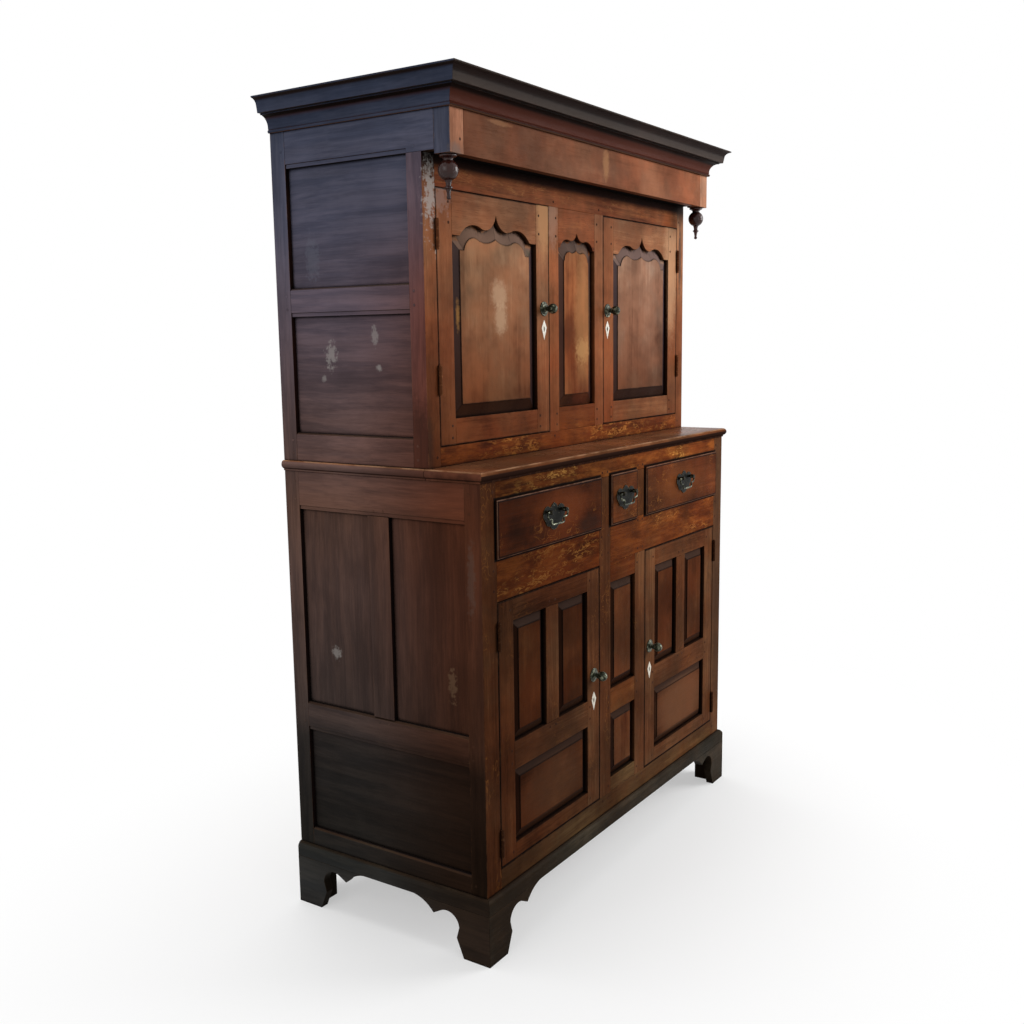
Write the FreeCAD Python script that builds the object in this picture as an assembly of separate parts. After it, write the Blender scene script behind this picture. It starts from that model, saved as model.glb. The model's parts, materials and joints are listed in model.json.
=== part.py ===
import FreeCAD, Part
import math
import os
from FreeCAD import Vector

# A joined oak court cupboard in two stages, built from its separate boards, posts, rails, panels and metalwork.
# Lengths are in millimetres. X runs along the front, the front faces -Y and +Z is up.
# The solids are drawn with y = 0 on the face of the lower stage and z = 0 on the floor, and x = 0 in the middle.
# save() then moves them so that the origin lies under the centre of the whole cupboard's box.

os.makedirs("parts", exist_ok=True)

# The whole case
case_width = 1290.0
case_depth = 574.0
overrun = 4.0

# Joints and running gaps
tenon_length = 20.0
rear_tenon_length = 16.0
tenon_thick = 8.0
tenon_shoulder = 7.0
mortise_gap = 1.0
groove_depth = 9.0
panel_edge_thick = 6.0
groove_play = 0.2
panel_shrinkage = 1.0
door_gap = 1.5
seat_gap = 0.3
frame_thick = 32.0
side_thick = 26.0
board_joint = 0.6

# Feet and base moulding
foot_height = 122.0
bracket_thick = 22.0
bracket_length = 216.0
foot_block_size = 44.0
foot_block_lift = 6.0
back_bracket_length = 150.0
base_mould_height = 36.0
base_mould_reach = 13.0

# Lower stage, from the base moulding up
bottom_rail_rise = 48.0
door_bottom_rail = 40.0
short_panel_height = 177.0
door_middle_rail = 67.0
tall_panel_height = 286.0
door_top_rail = 54.0
deep_rail_height = 99.5
drawer_opening_height = 125.0
top_rail_height = 44.5
lower_post_width = 57.0
lower_post_depth = 43.0
inner_stile_width = 58.0
centre_opening = 138.0
rear_post_width = 36.0
rear_post_depth = 44.0
lower_door_stile = 61.0
lower_door_muntin = 57.0
side_top_rail = 91.0
side_middle_rail = 71.0
side_low_panel_height = 256.0
side_bottom_rise = 44.0
side_muntin_width = 62.0

# Ledge between the stages
ledge_thick = 25.0
ledge_reach = 11.0
ledge_depth = 143.0

# Upper stage
upper_setback = 136.0
upper_post_width = 44.0
upper_post_depth = 41.0
upper_bottom_rail = 44.0
upper_opening_height = 559.0
upper_top_rail = 67.0
upper_stile_width = 46.0
upper_centre_opening = 186.0
upper_door_stile = 57.0
upper_door_bottom_rail = 60.0
upper_door_head_rail = 97.0
upper_side_bottom_rail = 67.0
upper_side_middle_rail = 65.0
upper_side_low_panel = 269.0

# Head, frieze and cornice
head_height = 142.0
frieze_setback = 60.0
frieze_thick = 22.0
frieze_drop = 9.0
corner_block_width = 48.0
corner_block_depth = 42.0
soffit_thick = 10.0
roof_thick = 12.0
cornice_stand = 2.0
cornice_height = 74.0
cornice_reach = 54.5

# Panels and doors
door_thick = 22.0
panel_tongue_depth = 13.0
field_depth = 2.0
field_step = 1.5
field_bevel = 23.0
arched_field_bevel = 30.0
panel_clearance = 0.5
side_panel_recess = 12.0
sill_chamfer = 5.0
quirk_depth = 2.5
quirk_height = 9.0
arch_cover = 10.0

# Boards inside
back_board_thick = 12.0
back_rail_thick = 22.0
back_rail_height = 60.0
back_board_count = 5
floor_thick = 14.0
shelf_thick = 16.0
shelf_setback = 12.0
bearer_height = 20.0
bearer_thick = 18.0
lower_shelf_height = 520.0
upper_shelf_height = 1478.0

# Drawers
drawer_play = 1.5
lip_overlap = 3.5
lip_proud = 7.0
lip_round = 5.0
drawer_front_thick = 18.0
drawer_side_thick = 10.0
drawer_back_thick = 10.0
drawer_back_drop = 12.0
drawer_bottom_thick = 8.0
drawer_bottom_lift = 4.0
drawer_back_space = 40.0
dovetail_length = 12.0
dovetail_count = 3
dovetail_root = 20.0
dovetail_flare = 5.0
runner_height = 24.0
runner_tread = 15.0
guide_height = 26.0

# Drawer handles
plate_thick = 1.6
plate_width = 96.0
plate_height = 64.0
handle_post_spacing = 64.0
handle_post_radius = 4.0
handle_post_reach = 11.5
handle_post_cap = 5.2
bail_wire = 2.3
bail_sides = 8
bail_pin_play = 0.06
bail_pin_length = 8.0
bail_drop = 30.0
handle_rise = 13.0

# Knobs, escutcheons and locks
knob_radius = 12.5
rose_radius = 18.0
rose_thick = 4.0
knob_neck_radius = 5.5
knob_reach = 38.0
upper_key_drop = 52.0
lower_key_drop = 69.0
lower_knob_inset = 31.0
upper_knob_inset = 25.0
escutcheon_width = 23.0
escutcheon_height = 49.0
escutcheon_thick = 2.4
escutcheon_proud = 0.4
keyhole_radius = 2.6
keyhole_slot_width = 2.6
keyhole_slot_length = 9.0
keyhole_depth = 12.0
lock_width = 42.0
lock_height = 58.0
lock_thick = 11.0
lock_plate_thick = 2.2
lock_edge = 1.0
bolt_thick = 4.0
bolt_height = 12.0
bolt_length = 30.0
bolt_travel = 9.0

# Butt hinges
hinge_height = 60.0
hinge_leaf_thick = 1.6
hinge_leaf_width = 20.0
knuckle_radius = 4.0
knuckle_gap = 0.3
knuckle_share = 1.0 / 3.0
pin_radius = 1.9
pin_play = 0.05
pin_head_radius = 3.4
pin_head_height = 3.0
lower_hinge_rise = 61.0
lower_hinge_drop = 78.0
upper_hinge_rise = 147.0
upper_hinge_drop = 99.0

# Turned pendants
pendant_length = 92.0
pendant_ball_radius = 22.0
pendant_inset = 24.0

# Levels worked out from the sizes above
half = case_width / 2
base_top = foot_height + base_mould_height
lower_opening_bottom = base_top + bottom_rail_rise
short_panel_bottom = lower_opening_bottom + door_bottom_rail
short_panel_top = short_panel_bottom + short_panel_height
tall_panel_bottom = short_panel_top + door_middle_rail
tall_panel_top = tall_panel_bottom + tall_panel_height
lower_opening_top = tall_panel_top + door_top_rail
drawer_bottom = lower_opening_top + deep_rail_height
drawer_top = drawer_bottom + drawer_opening_height
lower_top = drawer_top + top_rail_height
upper_base = lower_top + ledge_thick
upper_opening_bottom = upper_base + upper_bottom_rail
upper_opening_top = upper_opening_bottom + upper_opening_height
head_bottom = upper_opening_top + upper_top_rail
frame_top = head_bottom + head_height
cornice_top = frame_top + roof_thick + cornice_stand
cornice_bottom = cornice_top - cornice_height
frieze_bottom = head_bottom - frieze_drop
upper_face = upper_setback
upper_knob_share = 0.551
lower_knob_share = 0.5545
upper_knob_height = upper_opening_bottom + upper_knob_share * upper_opening_height
lower_knob_height = lower_opening_bottom + lower_knob_share * (lower_opening_top - lower_opening_bottom)
upper_key_height = upper_knob_height - upper_key_drop
lower_key_height = lower_knob_height - lower_key_drop
rear_frame = case_depth - rear_post_depth
back_board_face = case_depth - back_board_thick
back_rail_face = back_board_face - back_rail_thick
drawer_end = back_rail_face - drawer_back_space

# Widths worked out: x positions on the left half of the front
lower_post_edge = -half + lower_post_width
centre_edge = -centre_opening / 2
inner_stile_edge = centre_edge - inner_stile_width
upper_post_edge = -half + upper_post_width
upper_centre_edge = -upper_centre_opening / 2
upper_stile_edge = upper_centre_edge - upper_stile_width

# The knobs on the lower doors reach furthest forward, so they set the front of the cupboard's box
front_y = (knob_reach - case_depth) / 2


def save(node, solids):
    """Write one node: its solids, moved so that the origin is under the middle of the cupboard."""
    shape = solids[0] if len(solids) == 1 else Part.makeCompound(solids)
    shape = shape.copy()
    shape.translate(Vector(0, front_y, 0))
    shape.exportStep("parts/" + node + ".step")
    whole = all(s.isValid() and s.ShapeType == "Solid" and s.Volume > 0 for s in solids)
    print(node, len(solids), "solids", "valid" if whole else "NOT VALID")


def block(x0, x1, y0, y1, z0, z1):
    return Part.makeBox(x1 - x0, y1 - y0, z1 - z0, Vector(x0, y0, z0))


def mirrored(solids):
    """The same pieces on the other side of the cupboard."""
    return [s.mirror(Vector(0, 0, 0), Vector(1, 0, 0)) for s in solids]


def both_sides(solids):
    return solids + mirrored(solids)


def one_solid(shape):
    """The single solid that a fusion or a cut leaves."""
    return shape.removeSplitter().Solids[0]


def in_xz(y):
    return lambda p: Vector(p[0], y, p[1])


def in_yz(x):
    return lambda p: Vector(x, p[0], p[1])


def in_xy(z):
    return lambda p: Vector(p[0], p[1], z)


def outline(put, start, steps):
    """A closed wire: a step of one point is a line, a step of two is an arc through the first to the second."""
    edges = []
    here = start
    for step in steps:
        if len(step) == 1:
            edges.append(Part.LineSegment(put(here), put(step[0])).toShape())
        else:
            edges.append(Part.Arc(put(here), put(step[0]), put(step[1])).toShape())
        here = step[-1]
    edges.append(Part.LineSegment(put(here), put(start)).toShape())
    return Part.Wire(edges)


def prism(wire, direction):
    return Part.Face(wire).extrude(direction)


def polygon(put, points):
    return outline(put, points[0], [(p,) for p in points[1:]])


def tenoned(box, along, across, ends, sockets, length=tenon_length):
    """A rail or stile with a tenon on each named end. The mortises that they need are added to sockets."""
    low = [box[0], box[2], box[4]]
    high = [box[1], box[3], box[5]]
    third = 3 - along - across
    middle = (low[across] + high[across]) / 2
    piece = block(*box)
    for end in ends:
        a = list(low)
        b = list(high)
        a[across] = middle - tenon_thick / 2
        b[across] = middle + tenon_thick / 2
        a[third] += tenon_shoulder
        b[third] -= tenon_shoulder
        c = list(a)
        d = list(b)
        if end < 0:
            b[along] = d[along] = low[along]
            a[along] = low[along] - length
            c[along] = a[along] - mortise_gap
        else:
            a[along] = c[along] = high[along]
            b[along] = high[along] + length
            d[along] = b[along] + mortise_gap
        piece = piece.fuse(block(a[0], b[0], a[1], b[1], a[2], b[2]))
        sockets.append(block(c[0], d[0], c[1], d[1], c[2], d[2]))
    return one_solid(piece)


def housed(piece, sockets):
    """Cut every mortise, groove and recess that reaches into the piece."""
    for socket in sockets:
        if piece.BoundBox.intersect(socket.BoundBox):
            piece = piece.cut(socket)
    return piece.Solids[0]


def housed_all(pieces, sockets):
    return [housed(p, sockets) for p in pieces]


def flat_panel(x0, x1, y0, y1, z0, z1, across, sockets):
    """A flat panel held by its edges in grooves. across is 0 for a panel in a side, 1 for one in the front."""
    grow = groove_depth - panel_shrinkage
    low = [x0 - grow, y0 - grow, z0 - grow]
    high = [x1 + grow, y1 + grow, z1 + grow]
    groove_low = [x0 - groove_depth, y0 - groove_depth, z0 - groove_depth]
    groove_high = [x1 + groove_depth, y1 + groove_depth, z1 + groove_depth]
    faces = (x0, x1) if across == 0 else (y0, y1)
    low[across], high[across] = faces
    groove_low[across] = faces[0] - groove_play
    groove_high[across] = faces[1] + groove_play
    sockets.append(block(groove_low[0], groove_high[0], groove_low[1], groove_high[1],
                         groove_low[2], groove_high[2]))
    return block(low[0], high[0], low[1], high[1], low[2], high[2])


def arch_curve(x0, x1, z_shoulder, rise, shares):
    """An ogee head drawn from its right shoulder to its left one: hump, hollow, point, hollow, hump."""
    width = x1 - x0
    middle = (x0 + x1) / 2
    shoulder, crest, turn, trough = [x0 + share * width for share in shares["across"]]
    z_crest, z_turn, z_trough, z_apex = [z_shoulder + share * rise for share in shares["up"]]

    def other(x):
        return x0 + x1 - x

    steps = [
        ((other(crest), z_crest), (other(turn), z_turn)),
        ((other(trough), z_trough), (middle, z_apex)),
        ((trough, z_trough), (turn, z_turn)),
        ((crest, z_crest), (shoulder, z_shoulder)),
    ]
    return (other(shoulder), z_shoulder), steps


# Where the ogee's points fall, as shares of the opening's width and of the rise to its apex
door_arch_shares = {"across": (0.085, 0.222, 0.315, 0.372), "up": (0.48, 0.417, 0.339, 1.0)}
door_field_shares = {"across": (0.06, 0.16, 0.27, 0.36), "up": (0.90, 0.77, 0.66, 1.0)}
centre_arch_shares = {"across": (0.05, 0.205, 0.29, 0.355), "up": (0.53, 0.50, 0.475, 1.0)}
centre_field_shares = {"across": (0.03, 0.177, 0.28, 0.37), "up": (0.79, 0.75, 0.73, 1.0)}
door_apex_share = 0.1565
door_field_apex_share = 0.108
centre_apex_share = 0.215
centre_field_apex_share = 0.222


def field_wire(x0, x1, z0, z1, y, arch=None):
    """Outline of a panel's field or sight opening: a rectangle, or one with an ogee head."""
    put = in_xz(y)
    if arch is None:
        return polygon(put, [(x0, z0), (x1, z0), (x1, z1), (x0, z1)])
    start, curve = arch_curve(x0, x1, z1, arch[0], arch[1])
    return outline(put, (x0, z0), [((x1, z0),), ((x1, z1),), (start,)] + curve + [((x0, z1),)])


def fielded_panel(x0, x1, z0, z1, face, sockets, bevel=field_bevel, arch=None, field_arch=None):
    """A raised panel: a thin edge in the grooves, a broad bevel, then the flat field with a small step."""
    grow = groove_depth - panel_shrinkage
    top = z1
    if arch is not None:
        top = z1 + arch[0] + arch_cover - grow
    tongue = face + panel_tongue_depth
    slab = block(x0 - grow, x1 + grow, tongue, tongue + panel_edge_thick, z0 - grow, top + grow)
    sockets.append(block(x0 - groove_depth, x1 + groove_depth, tongue - groove_play,
                         tongue + panel_edge_thick + groove_play, z0 - groove_depth, top + groove_depth))
    inner = panel_clearance
    foot = field_wire(x0 + inner, x1 - inner, z0 + inner, z1 - inner, tongue, arch)
    step_y = face + field_depth + field_step
    rim = field_wire(x0 + bevel, x1 - bevel, z0 + bevel, z1 - bevel, step_y, field_arch)
    slope = Part.makeLoft([foot, rim], True, True)
    field = prism(rim, Vector(0, -field_step, 0))
    return one_solid(slab.fuse([slope, field]))


def arched_rail(x0, x1, z_shoulder, z_top, face, thick, arch, sockets):
    """A head rail whose lower edge is cut to the ogee. Its tenons go into the stiles beside it."""
    rail = tenoned((x0, x1, face, face + thick, z_shoulder, z_top), 0, 1, (-1, 1), sockets)
    start, curve = arch_curve(x0, x1, z_shoulder, arch[0], arch[1])
    below = z_shoulder - overrun
    end = curve[-1][-1]
    wire = outline(in_xz(face - overrun), (start[0], below), [(start,)] + curve + [((end[0], below),)])
    return one_solid(rail.cut(prism(wire, Vector(0, thick + 2 * overrun, 0))))


def moulding_front(profile, y_face, x_half, reach, z0, z1):
    """A moulding along the front with a mitre at each end. profile is (wire maker) in (out, z)."""
    body = prism(profile(lambda p: Vector(-x_half - reach, y_face - p[0], p[1])),
                 Vector(2 * (x_half + reach), 0, 0))
    plan = polygon(in_xy(z0), [(-x_half - reach, y_face - reach), (x_half + reach, y_face - reach),
                               (x_half, y_face), (-x_half, y_face)])
    return body.common(prism(plan, Vector(0, 0, z1 - z0))).Solids[0]


def moulding_side(profile, y_face, x_half, reach, z0, z1, y_end, mitre=True):
    """The same moulding along the left side, from the mitre to the back."""
    y_start = y_face - reach if mitre else y_face
    body = prism(profile(lambda p: Vector(-x_half - p[0], y_start, p[1])), Vector(0, y_end - y_start, 0))
    if not mitre:
        return body
    plan = polygon(in_xy(z0), [(-x_half - reach, y_face - reach), (-x_half, y_face), (-x_half, y_end),
                               (-x_half - reach, y_end)])
    return body.common(prism(plan, Vector(0, 0, z1 - z0))).Solids[0]


def turned(profile, axis_point, axis):
    """Revolve a closed wire about an axis."""
    return Part.Face(profile).revolve(axis_point, axis, 360).Solids[0]


# Feet

# Half outline of a bracket foot, as shares of the bracket's length and of the foot's height
foot_outline_shares = {
    "toe": (0.34, 0.0), "knee": (0.43, 0.385), "waist": (0.395, 0.60), "hollow": (0.445, 0.79),
    "spring": (0.635, 0.83), "spur": (0.735, 0.735), "lift": (0.84, 0.90), "end": (1.0, 1.0),
}


def bracket_outline(put, length):
    """The shaped edge of one bracket, drawn from its outer corner."""
    p = {}
    for name, pair in foot_outline_shares.items():
        p[name] = (pair[0] * length, pair[1] * foot_height)
    steps = [(p["toe"],), (p["knee"],), (p["waist"],), (p["hollow"], p["spring"]), (p["spur"],),
             (p["lift"], p["end"]), ((0, foot_height),)]
    return outline(put, (0, 0), steps)


def front_foot():
    """Two shaped brackets mitred at the corner, and the glued block that carries the weight behind them."""
    corner_x = -half - base_mould_reach
    corner_y = -base_mould_reach
    front = prism(bracket_outline(lambda p: Vector(corner_x + p[0], corner_y, p[1]), bracket_length),
                  Vector(0, bracket_thick, 0))
    side = prism(bracket_outline(lambda p: Vector(corner_x, corner_y + p[0], p[1]), bracket_length),
                 Vector(bracket_thick, 0, 0))
    # the mitre runs from the outer corner inwards
    far = bracket_length + overrun
    below = in_xy(-overrun)
    wedge = polygon(below, [(corner_x, corner_y), (corner_x + far, corner_y + far), (corner_x + far, corner_y)])
    front_side = prism(wedge, Vector(0, 0, foot_height + 2 * overrun))
    front = front.common(front_side).Solids[0]
    side = side.cut(front_side).Solids[0]
    inner_x = corner_x + bracket_thick
    inner_y = corner_y + bracket_thick
    glue_block = block(inner_x, inner_x + foot_block_size, inner_y, inner_y + foot_block_size,
                       foot_block_lift, foot_height)
    return [front, side, glue_block]


def rear_foot():
    """A shaped bracket on the side, a plain one across the back and a glued block."""
    corner_x = -half - base_mould_reach
    side = prism(bracket_outline(lambda p: Vector(corner_x, case_depth - p[0], p[1]), bracket_length),
                 Vector(bracket_thick, 0, 0))
    inner_x = corner_x + bracket_thick
    width = foot_outline_shares["toe"][0] * bracket_length
    back_points = [(inner_x, 0), (inner_x + width, 0), (inner_x + back_bracket_length, foot_height),
                   (inner_x, foot_height)]
    back = prism(polygon(in_xz(case_depth - bracket_thick), back_points), Vector(0, bracket_thick, 0))
    block_y = case_depth - bracket_thick - foot_block_size
    glue_block = block(inner_x, inner_x + foot_block_size, block_y, block_y + foot_block_size,
                       foot_block_lift, foot_height)
    return [side, back, glue_block]


# Base moulding section, as shares of its reach and height: a plain face with an ovolo along its top
base_shares = {"foot": (1.0, 0.0), "shoulder": (1.0, 0.53), "swell": (0.82, 0.83), "nose": (0.25, 1.0)}


def base_profile(put):
    p = {}
    for name, pair in base_shares.items():
        p[name] = (pair[0] * base_mould_reach, foot_height + pair[1] * base_mould_height)
    steps = [(p["foot"],), (p["shoulder"],), (p["swell"], p["nose"]), ((0, base_top),)]
    return outline(put, (0, foot_height), steps)


# Cornice section, as shares of its reach and of its height, from the bead at the bottom to the fillet on top
cornice_shares = {
    "bead_side": (0.12, 0.05), "bead_top": (0.07, 0.10), "cove_foot": (0.09, 0.13), "cove": (0.17, 0.36),
    "cove_top": (0.42, 0.50), "fillet": (0.50, 0.50), "step": (0.50, 0.54), "fascia_foot": (0.66, 0.54),
    "fascia_top": (0.71, 0.755), "hollow": (0.79, 0.885), "fillet_foot": (0.985, 0.955), "edge": (1.0, 1.0),
}


def cornice_profile(put):
    p = {}
    for name, pair in cornice_shares.items():
        p[name] = (pair[0] * cornice_reach, cornice_bottom + pair[1] * cornice_height)
    steps = [(p["bead_side"], p["bead_top"]), (p["cove_foot"],), (p["cove"], p["cove_top"]), (p["fillet"],),
             (p["step"],), (p["fascia_foot"],), (p["fascia_top"],), (p["hollow"], p["fillet_foot"]),
             (p["edge"],), ((0, cornice_top),)]
    return outline(put, (0, cornice_bottom), steps)


# Thumb moulding on the edge of the ledge, as shares of its reach and thickness
ledge_shares = {"under": (0.30, 0.0), "quirk": (0.30, 0.18), "nose": (1.0, 0.56), "top": (0.36, 1.0)}


def ledge_profile(put):
    p = {}
    for name, pair in ledge_shares.items():
        p[name] = (pair[0] * ledge_reach, lower_top + pair[1] * ledge_thick)
    steps = [(p["under"],), (p["quirk"],), (p["nose"], p["top"]), ((0, upper_base),)]
    return outline(put, (0, lower_top), steps)


# Lower stage

def lower_stage():
    """Frames, panels and boards of the lower case. Returns the sockets that hinges and locks may add to."""
    sockets = []
    stiles = []
    posts = [block(-half, lower_post_edge, 0, lower_post_depth, foot_height, lower_top),
             block(-half, -half + rear_post_width, rear_frame, case_depth, foot_height, lower_top)]
    posts = both_sides(posts)
    depth = (0, frame_thick)
    x_post = lower_post_edge
    rails = [
        tenoned((x_post, -x_post) + depth + (drawer_top, lower_top), 0, 1, (-1, 1), sockets),
        tenoned((x_post, -x_post) + depth + (foot_height, lower_opening_bottom), 0, 1, (-1, 1), sockets),
        tenoned((x_post, inner_stile_edge) + depth + (lower_opening_top, drawer_bottom), 0, 1, (-1, 1), sockets),
        tenoned((centre_edge, -x_post) + depth + (lower_opening_top, drawer_bottom), 0, 1, (-1, 1), sockets),
    ]
    # the rails of the fixed centre line up with those of the doors
    for z0, z1 in ((tall_panel_top, lower_opening_top), (short_panel_top, tall_panel_bottom),
                   (lower_opening_bottom, short_panel_bottom)):
        rails.append(tenoned((centre_edge, -centre_edge) + depth + (z0, z1), 0, 1, (-1, 1), sockets))
    # the left inner stile runs past the deep rail, the right one stops under it
    upright = (inner_stile_edge, centre_edge) + depth
    other = (-centre_edge, -inner_stile_edge) + depth
    stiles.append(tenoned(upright + (lower_opening_bottom, drawer_top), 2, 1, (-1, 1), sockets))
    stiles.append(tenoned(other + (lower_opening_bottom, lower_opening_top), 2, 1, (-1, 1), sockets))
    stiles.append(tenoned(other + (drawer_bottom, drawer_top), 2, 1, (-1, 1), sockets))
    centre_panels = [
        fielded_panel(centre_edge, -centre_edge, short_panel_bottom, short_panel_top, 0, sockets),
        fielded_panel(centre_edge, -centre_edge, tall_panel_bottom, tall_panel_top, 0, sockets),
    ]
    # rails across the back carry the back boards
    rear_x = -half + rear_post_width
    back_depth = (back_rail_face, back_board_face)
    for z0 in (foot_height, drawer_bottom - back_rail_height, lower_top - back_rail_height):
        rail = (rear_x, -rear_x) + back_depth + (z0, z0 + back_rail_height)
        rails.append(tenoned(rail, 0, 1, (-1, 1), sockets, rear_tenon_length))

    # one side frame, then its mirror image
    side_sockets = []
    x0 = -half
    x1 = -half + side_thick
    y0 = lower_post_depth
    y1 = rear_frame
    side_bottom = base_top + side_bottom_rise
    middle_bottom = side_bottom + side_low_panel_height
    middle_top = middle_bottom + side_middle_rail
    top_bottom = lower_top - side_top_rail
    side_rails = [
        side_rail(y0, y1, foot_height, side_bottom, side_sockets, sill=True),
        side_rail(y0, y1, middle_bottom, middle_top, side_sockets, sill=True, lintel=True),
        side_rail(y0, y1, top_bottom, lower_top, side_sockets, lintel=True),
    ]
    muntin_y0 = (y0 + y1 - side_muntin_width) / 2
    muntin_y1 = muntin_y0 + side_muntin_width
    muntin = tenoned((x0, x1, muntin_y0, muntin_y1, middle_top, top_bottom), 2, 0, (-1, 1), side_sockets)
    face = x0 + side_panel_recess
    back = face + panel_edge_thick
    side_panels = [
        flat_panel(face, back, y0, y1, side_bottom, middle_bottom, 0, side_sockets),
        flat_panel(face, back, y0, muntin_y0, middle_top, top_bottom, 0, side_sockets),
        flat_panel(face, back, muntin_y1, y1, middle_top, top_bottom, 0, side_sockets),
    ]
    sockets += both_sides(side_sockets)
    side_rails = housed_all(side_rails, side_sockets)
    muntin = housed(muntin, side_sockets)
    sockets += both_sides(hinge_recesses(lower_hinge_places(), lower_post_edge, 0, frame_side=True))
    sockets += both_sides([bolt_socket(inner_stile_edge, 0, lower_key_height)])

    save("lower_posts", housed_all(posts, sockets))
    save("lower_rails", housed_all(rails, sockets))
    save("lower_muntins", housed_all(stiles + both_sides([muntin]), sockets))
    save("lower_side_rails", both_sides(side_rails))
    save("lower_side_panels", both_sides(side_panels))
    save("lower_back_boards", back_boards(foot_height, lower_top))
    return centre_panels


def side_rail(y0, y1, z0, z1, sockets, sill=False, lintel=False, lintel_start=None):
    """A rail of the left side. A sill has a chamfer under its panel, a lintel has a sunk edge over its panel."""
    face = -half
    rail = tenoned((face, face + side_thick, y0, y1, z0, z1), 1, 0, (-1, 1), sockets)
    if sill:
        points = [(face - overrun, z1 - sill_chamfer - overrun), (face + sill_chamfer + overrun, z1 + overrun),
                  (face - overrun, z1 + overrun)]
        rail = rail.cut(prism(polygon(in_xz(y0), points), Vector(0, y1 - y0, 0)))
    if lintel:
        start = y0 if lintel_start is None else lintel_start
        rail = rail.cut(block(face - overrun, face + quirk_depth, start, y1, z0 - overrun, z0 + quirk_height))
    return one_solid(rail)


def back_boards(z0, z1):
    """Upright boards nailed over the back rails, side by side between the rear posts."""
    x0 = -half + rear_post_width
    pitch = (case_width - 2 * rear_post_width) / back_board_count
    boards = []
    for n in range(back_board_count):
        left = x0 + n * pitch + board_joint / 2
        boards.append(block(left, left + pitch - board_joint, back_board_face, case_depth, z0, z1))
    return boards


def split_boards(x0, x1, y0, y1, z0, z1, count):
    """A floor, shelf or top made of boards laid front to back of each other."""
    pitch = (y1 - y0) / count
    boards = []
    for n in range(count):
        start = y0 + n * pitch
        stop = start + pitch - (board_joint if n < count - 1 else 0)
        boards.append(block(x0, x1, start, stop, z0, z1))
    return boards


def ledge_and_tops():
    """The moulded ledge board, the boards behind it and the moulding that carries its line along the sides."""
    board = block(-half, half, 0, ledge_depth, lower_top, upper_base)
    front = moulding_front(ledge_profile, 0, half, ledge_reach, lower_top, upper_base)
    side = moulding_side(ledge_profile, 0, half, ledge_reach, lower_top, upper_base, ledge_depth)
    board = one_solid(board.fuse([front, side] + mirrored([side])))
    run = moulding_side(ledge_profile, ledge_depth + board_joint, half, ledge_reach, lower_top, upper_base,
                        case_depth, mitre=False)
    save("ledge_board_and_mouldings", [board] + both_sides([run]))
    return split_boards(-half, half, ledge_depth + board_joint, case_depth, lower_top, upper_base, 2)


def boards_on_bearers(height, thick, front, notches):
    """A floor or shelf of two boards, notched round the posts, on a bearer at each side."""
    x0 = -half + side_thick
    boards = split_boards(x0, -x0, front, back_rail_face, height, height + thick, 2)
    bearer = block(x0, x0 + bearer_thick, front, back_rail_face, height - bearer_height, height)
    return housed_all(boards + both_sides([bearer]), notches)


def lower_inner_boards(top_boards):
    notches = lower_post_notches()
    floor = boards_on_bearers(lower_opening_bottom - seat_gap - floor_thick, floor_thick, frame_thick, notches)
    shelf = boards_on_bearers(lower_shelf_height, shelf_thick, lower_post_depth + shelf_setback, notches)
    save("lower_inner_boards", top_boards + floor + shelf)


def lower_post_notches():
    """The corners that floor and shelf boards are notched for."""
    front = block(-half, lower_post_edge, 0, lower_post_depth, foot_height, lower_top)
    rear = block(-half, -half + rear_post_width, rear_frame, case_depth, foot_height, lower_top)
    return both_sides([front, rear])


def drawer_runners():
    """Runners under the edges of the drawers, each with a guide on it that keeps the drawer straight."""
    y0 = frame_thick
    y1 = back_rail_face
    low = drawer_bottom - runner_height
    inner = -half + side_thick
    outer = [block(inner, lower_post_edge + runner_tread, y0, y1, low, drawer_bottom),
             block(inner, lower_post_edge, y0, y1, drawer_bottom, drawer_bottom + guide_height)]
    middle = [block(inner_stile_edge - runner_tread, centre_edge + runner_tread, y0, y1, low, drawer_bottom),
              block(inner_stile_edge, centre_edge, y0, y1, drawer_bottom, drawer_bottom + guide_height)]
    notches = lower_post_notches()
    pieces = [housed(p, notches) for p in outer + middle]
    save("drawer_runners", both_sides(pieces))


# Upper stage

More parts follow.
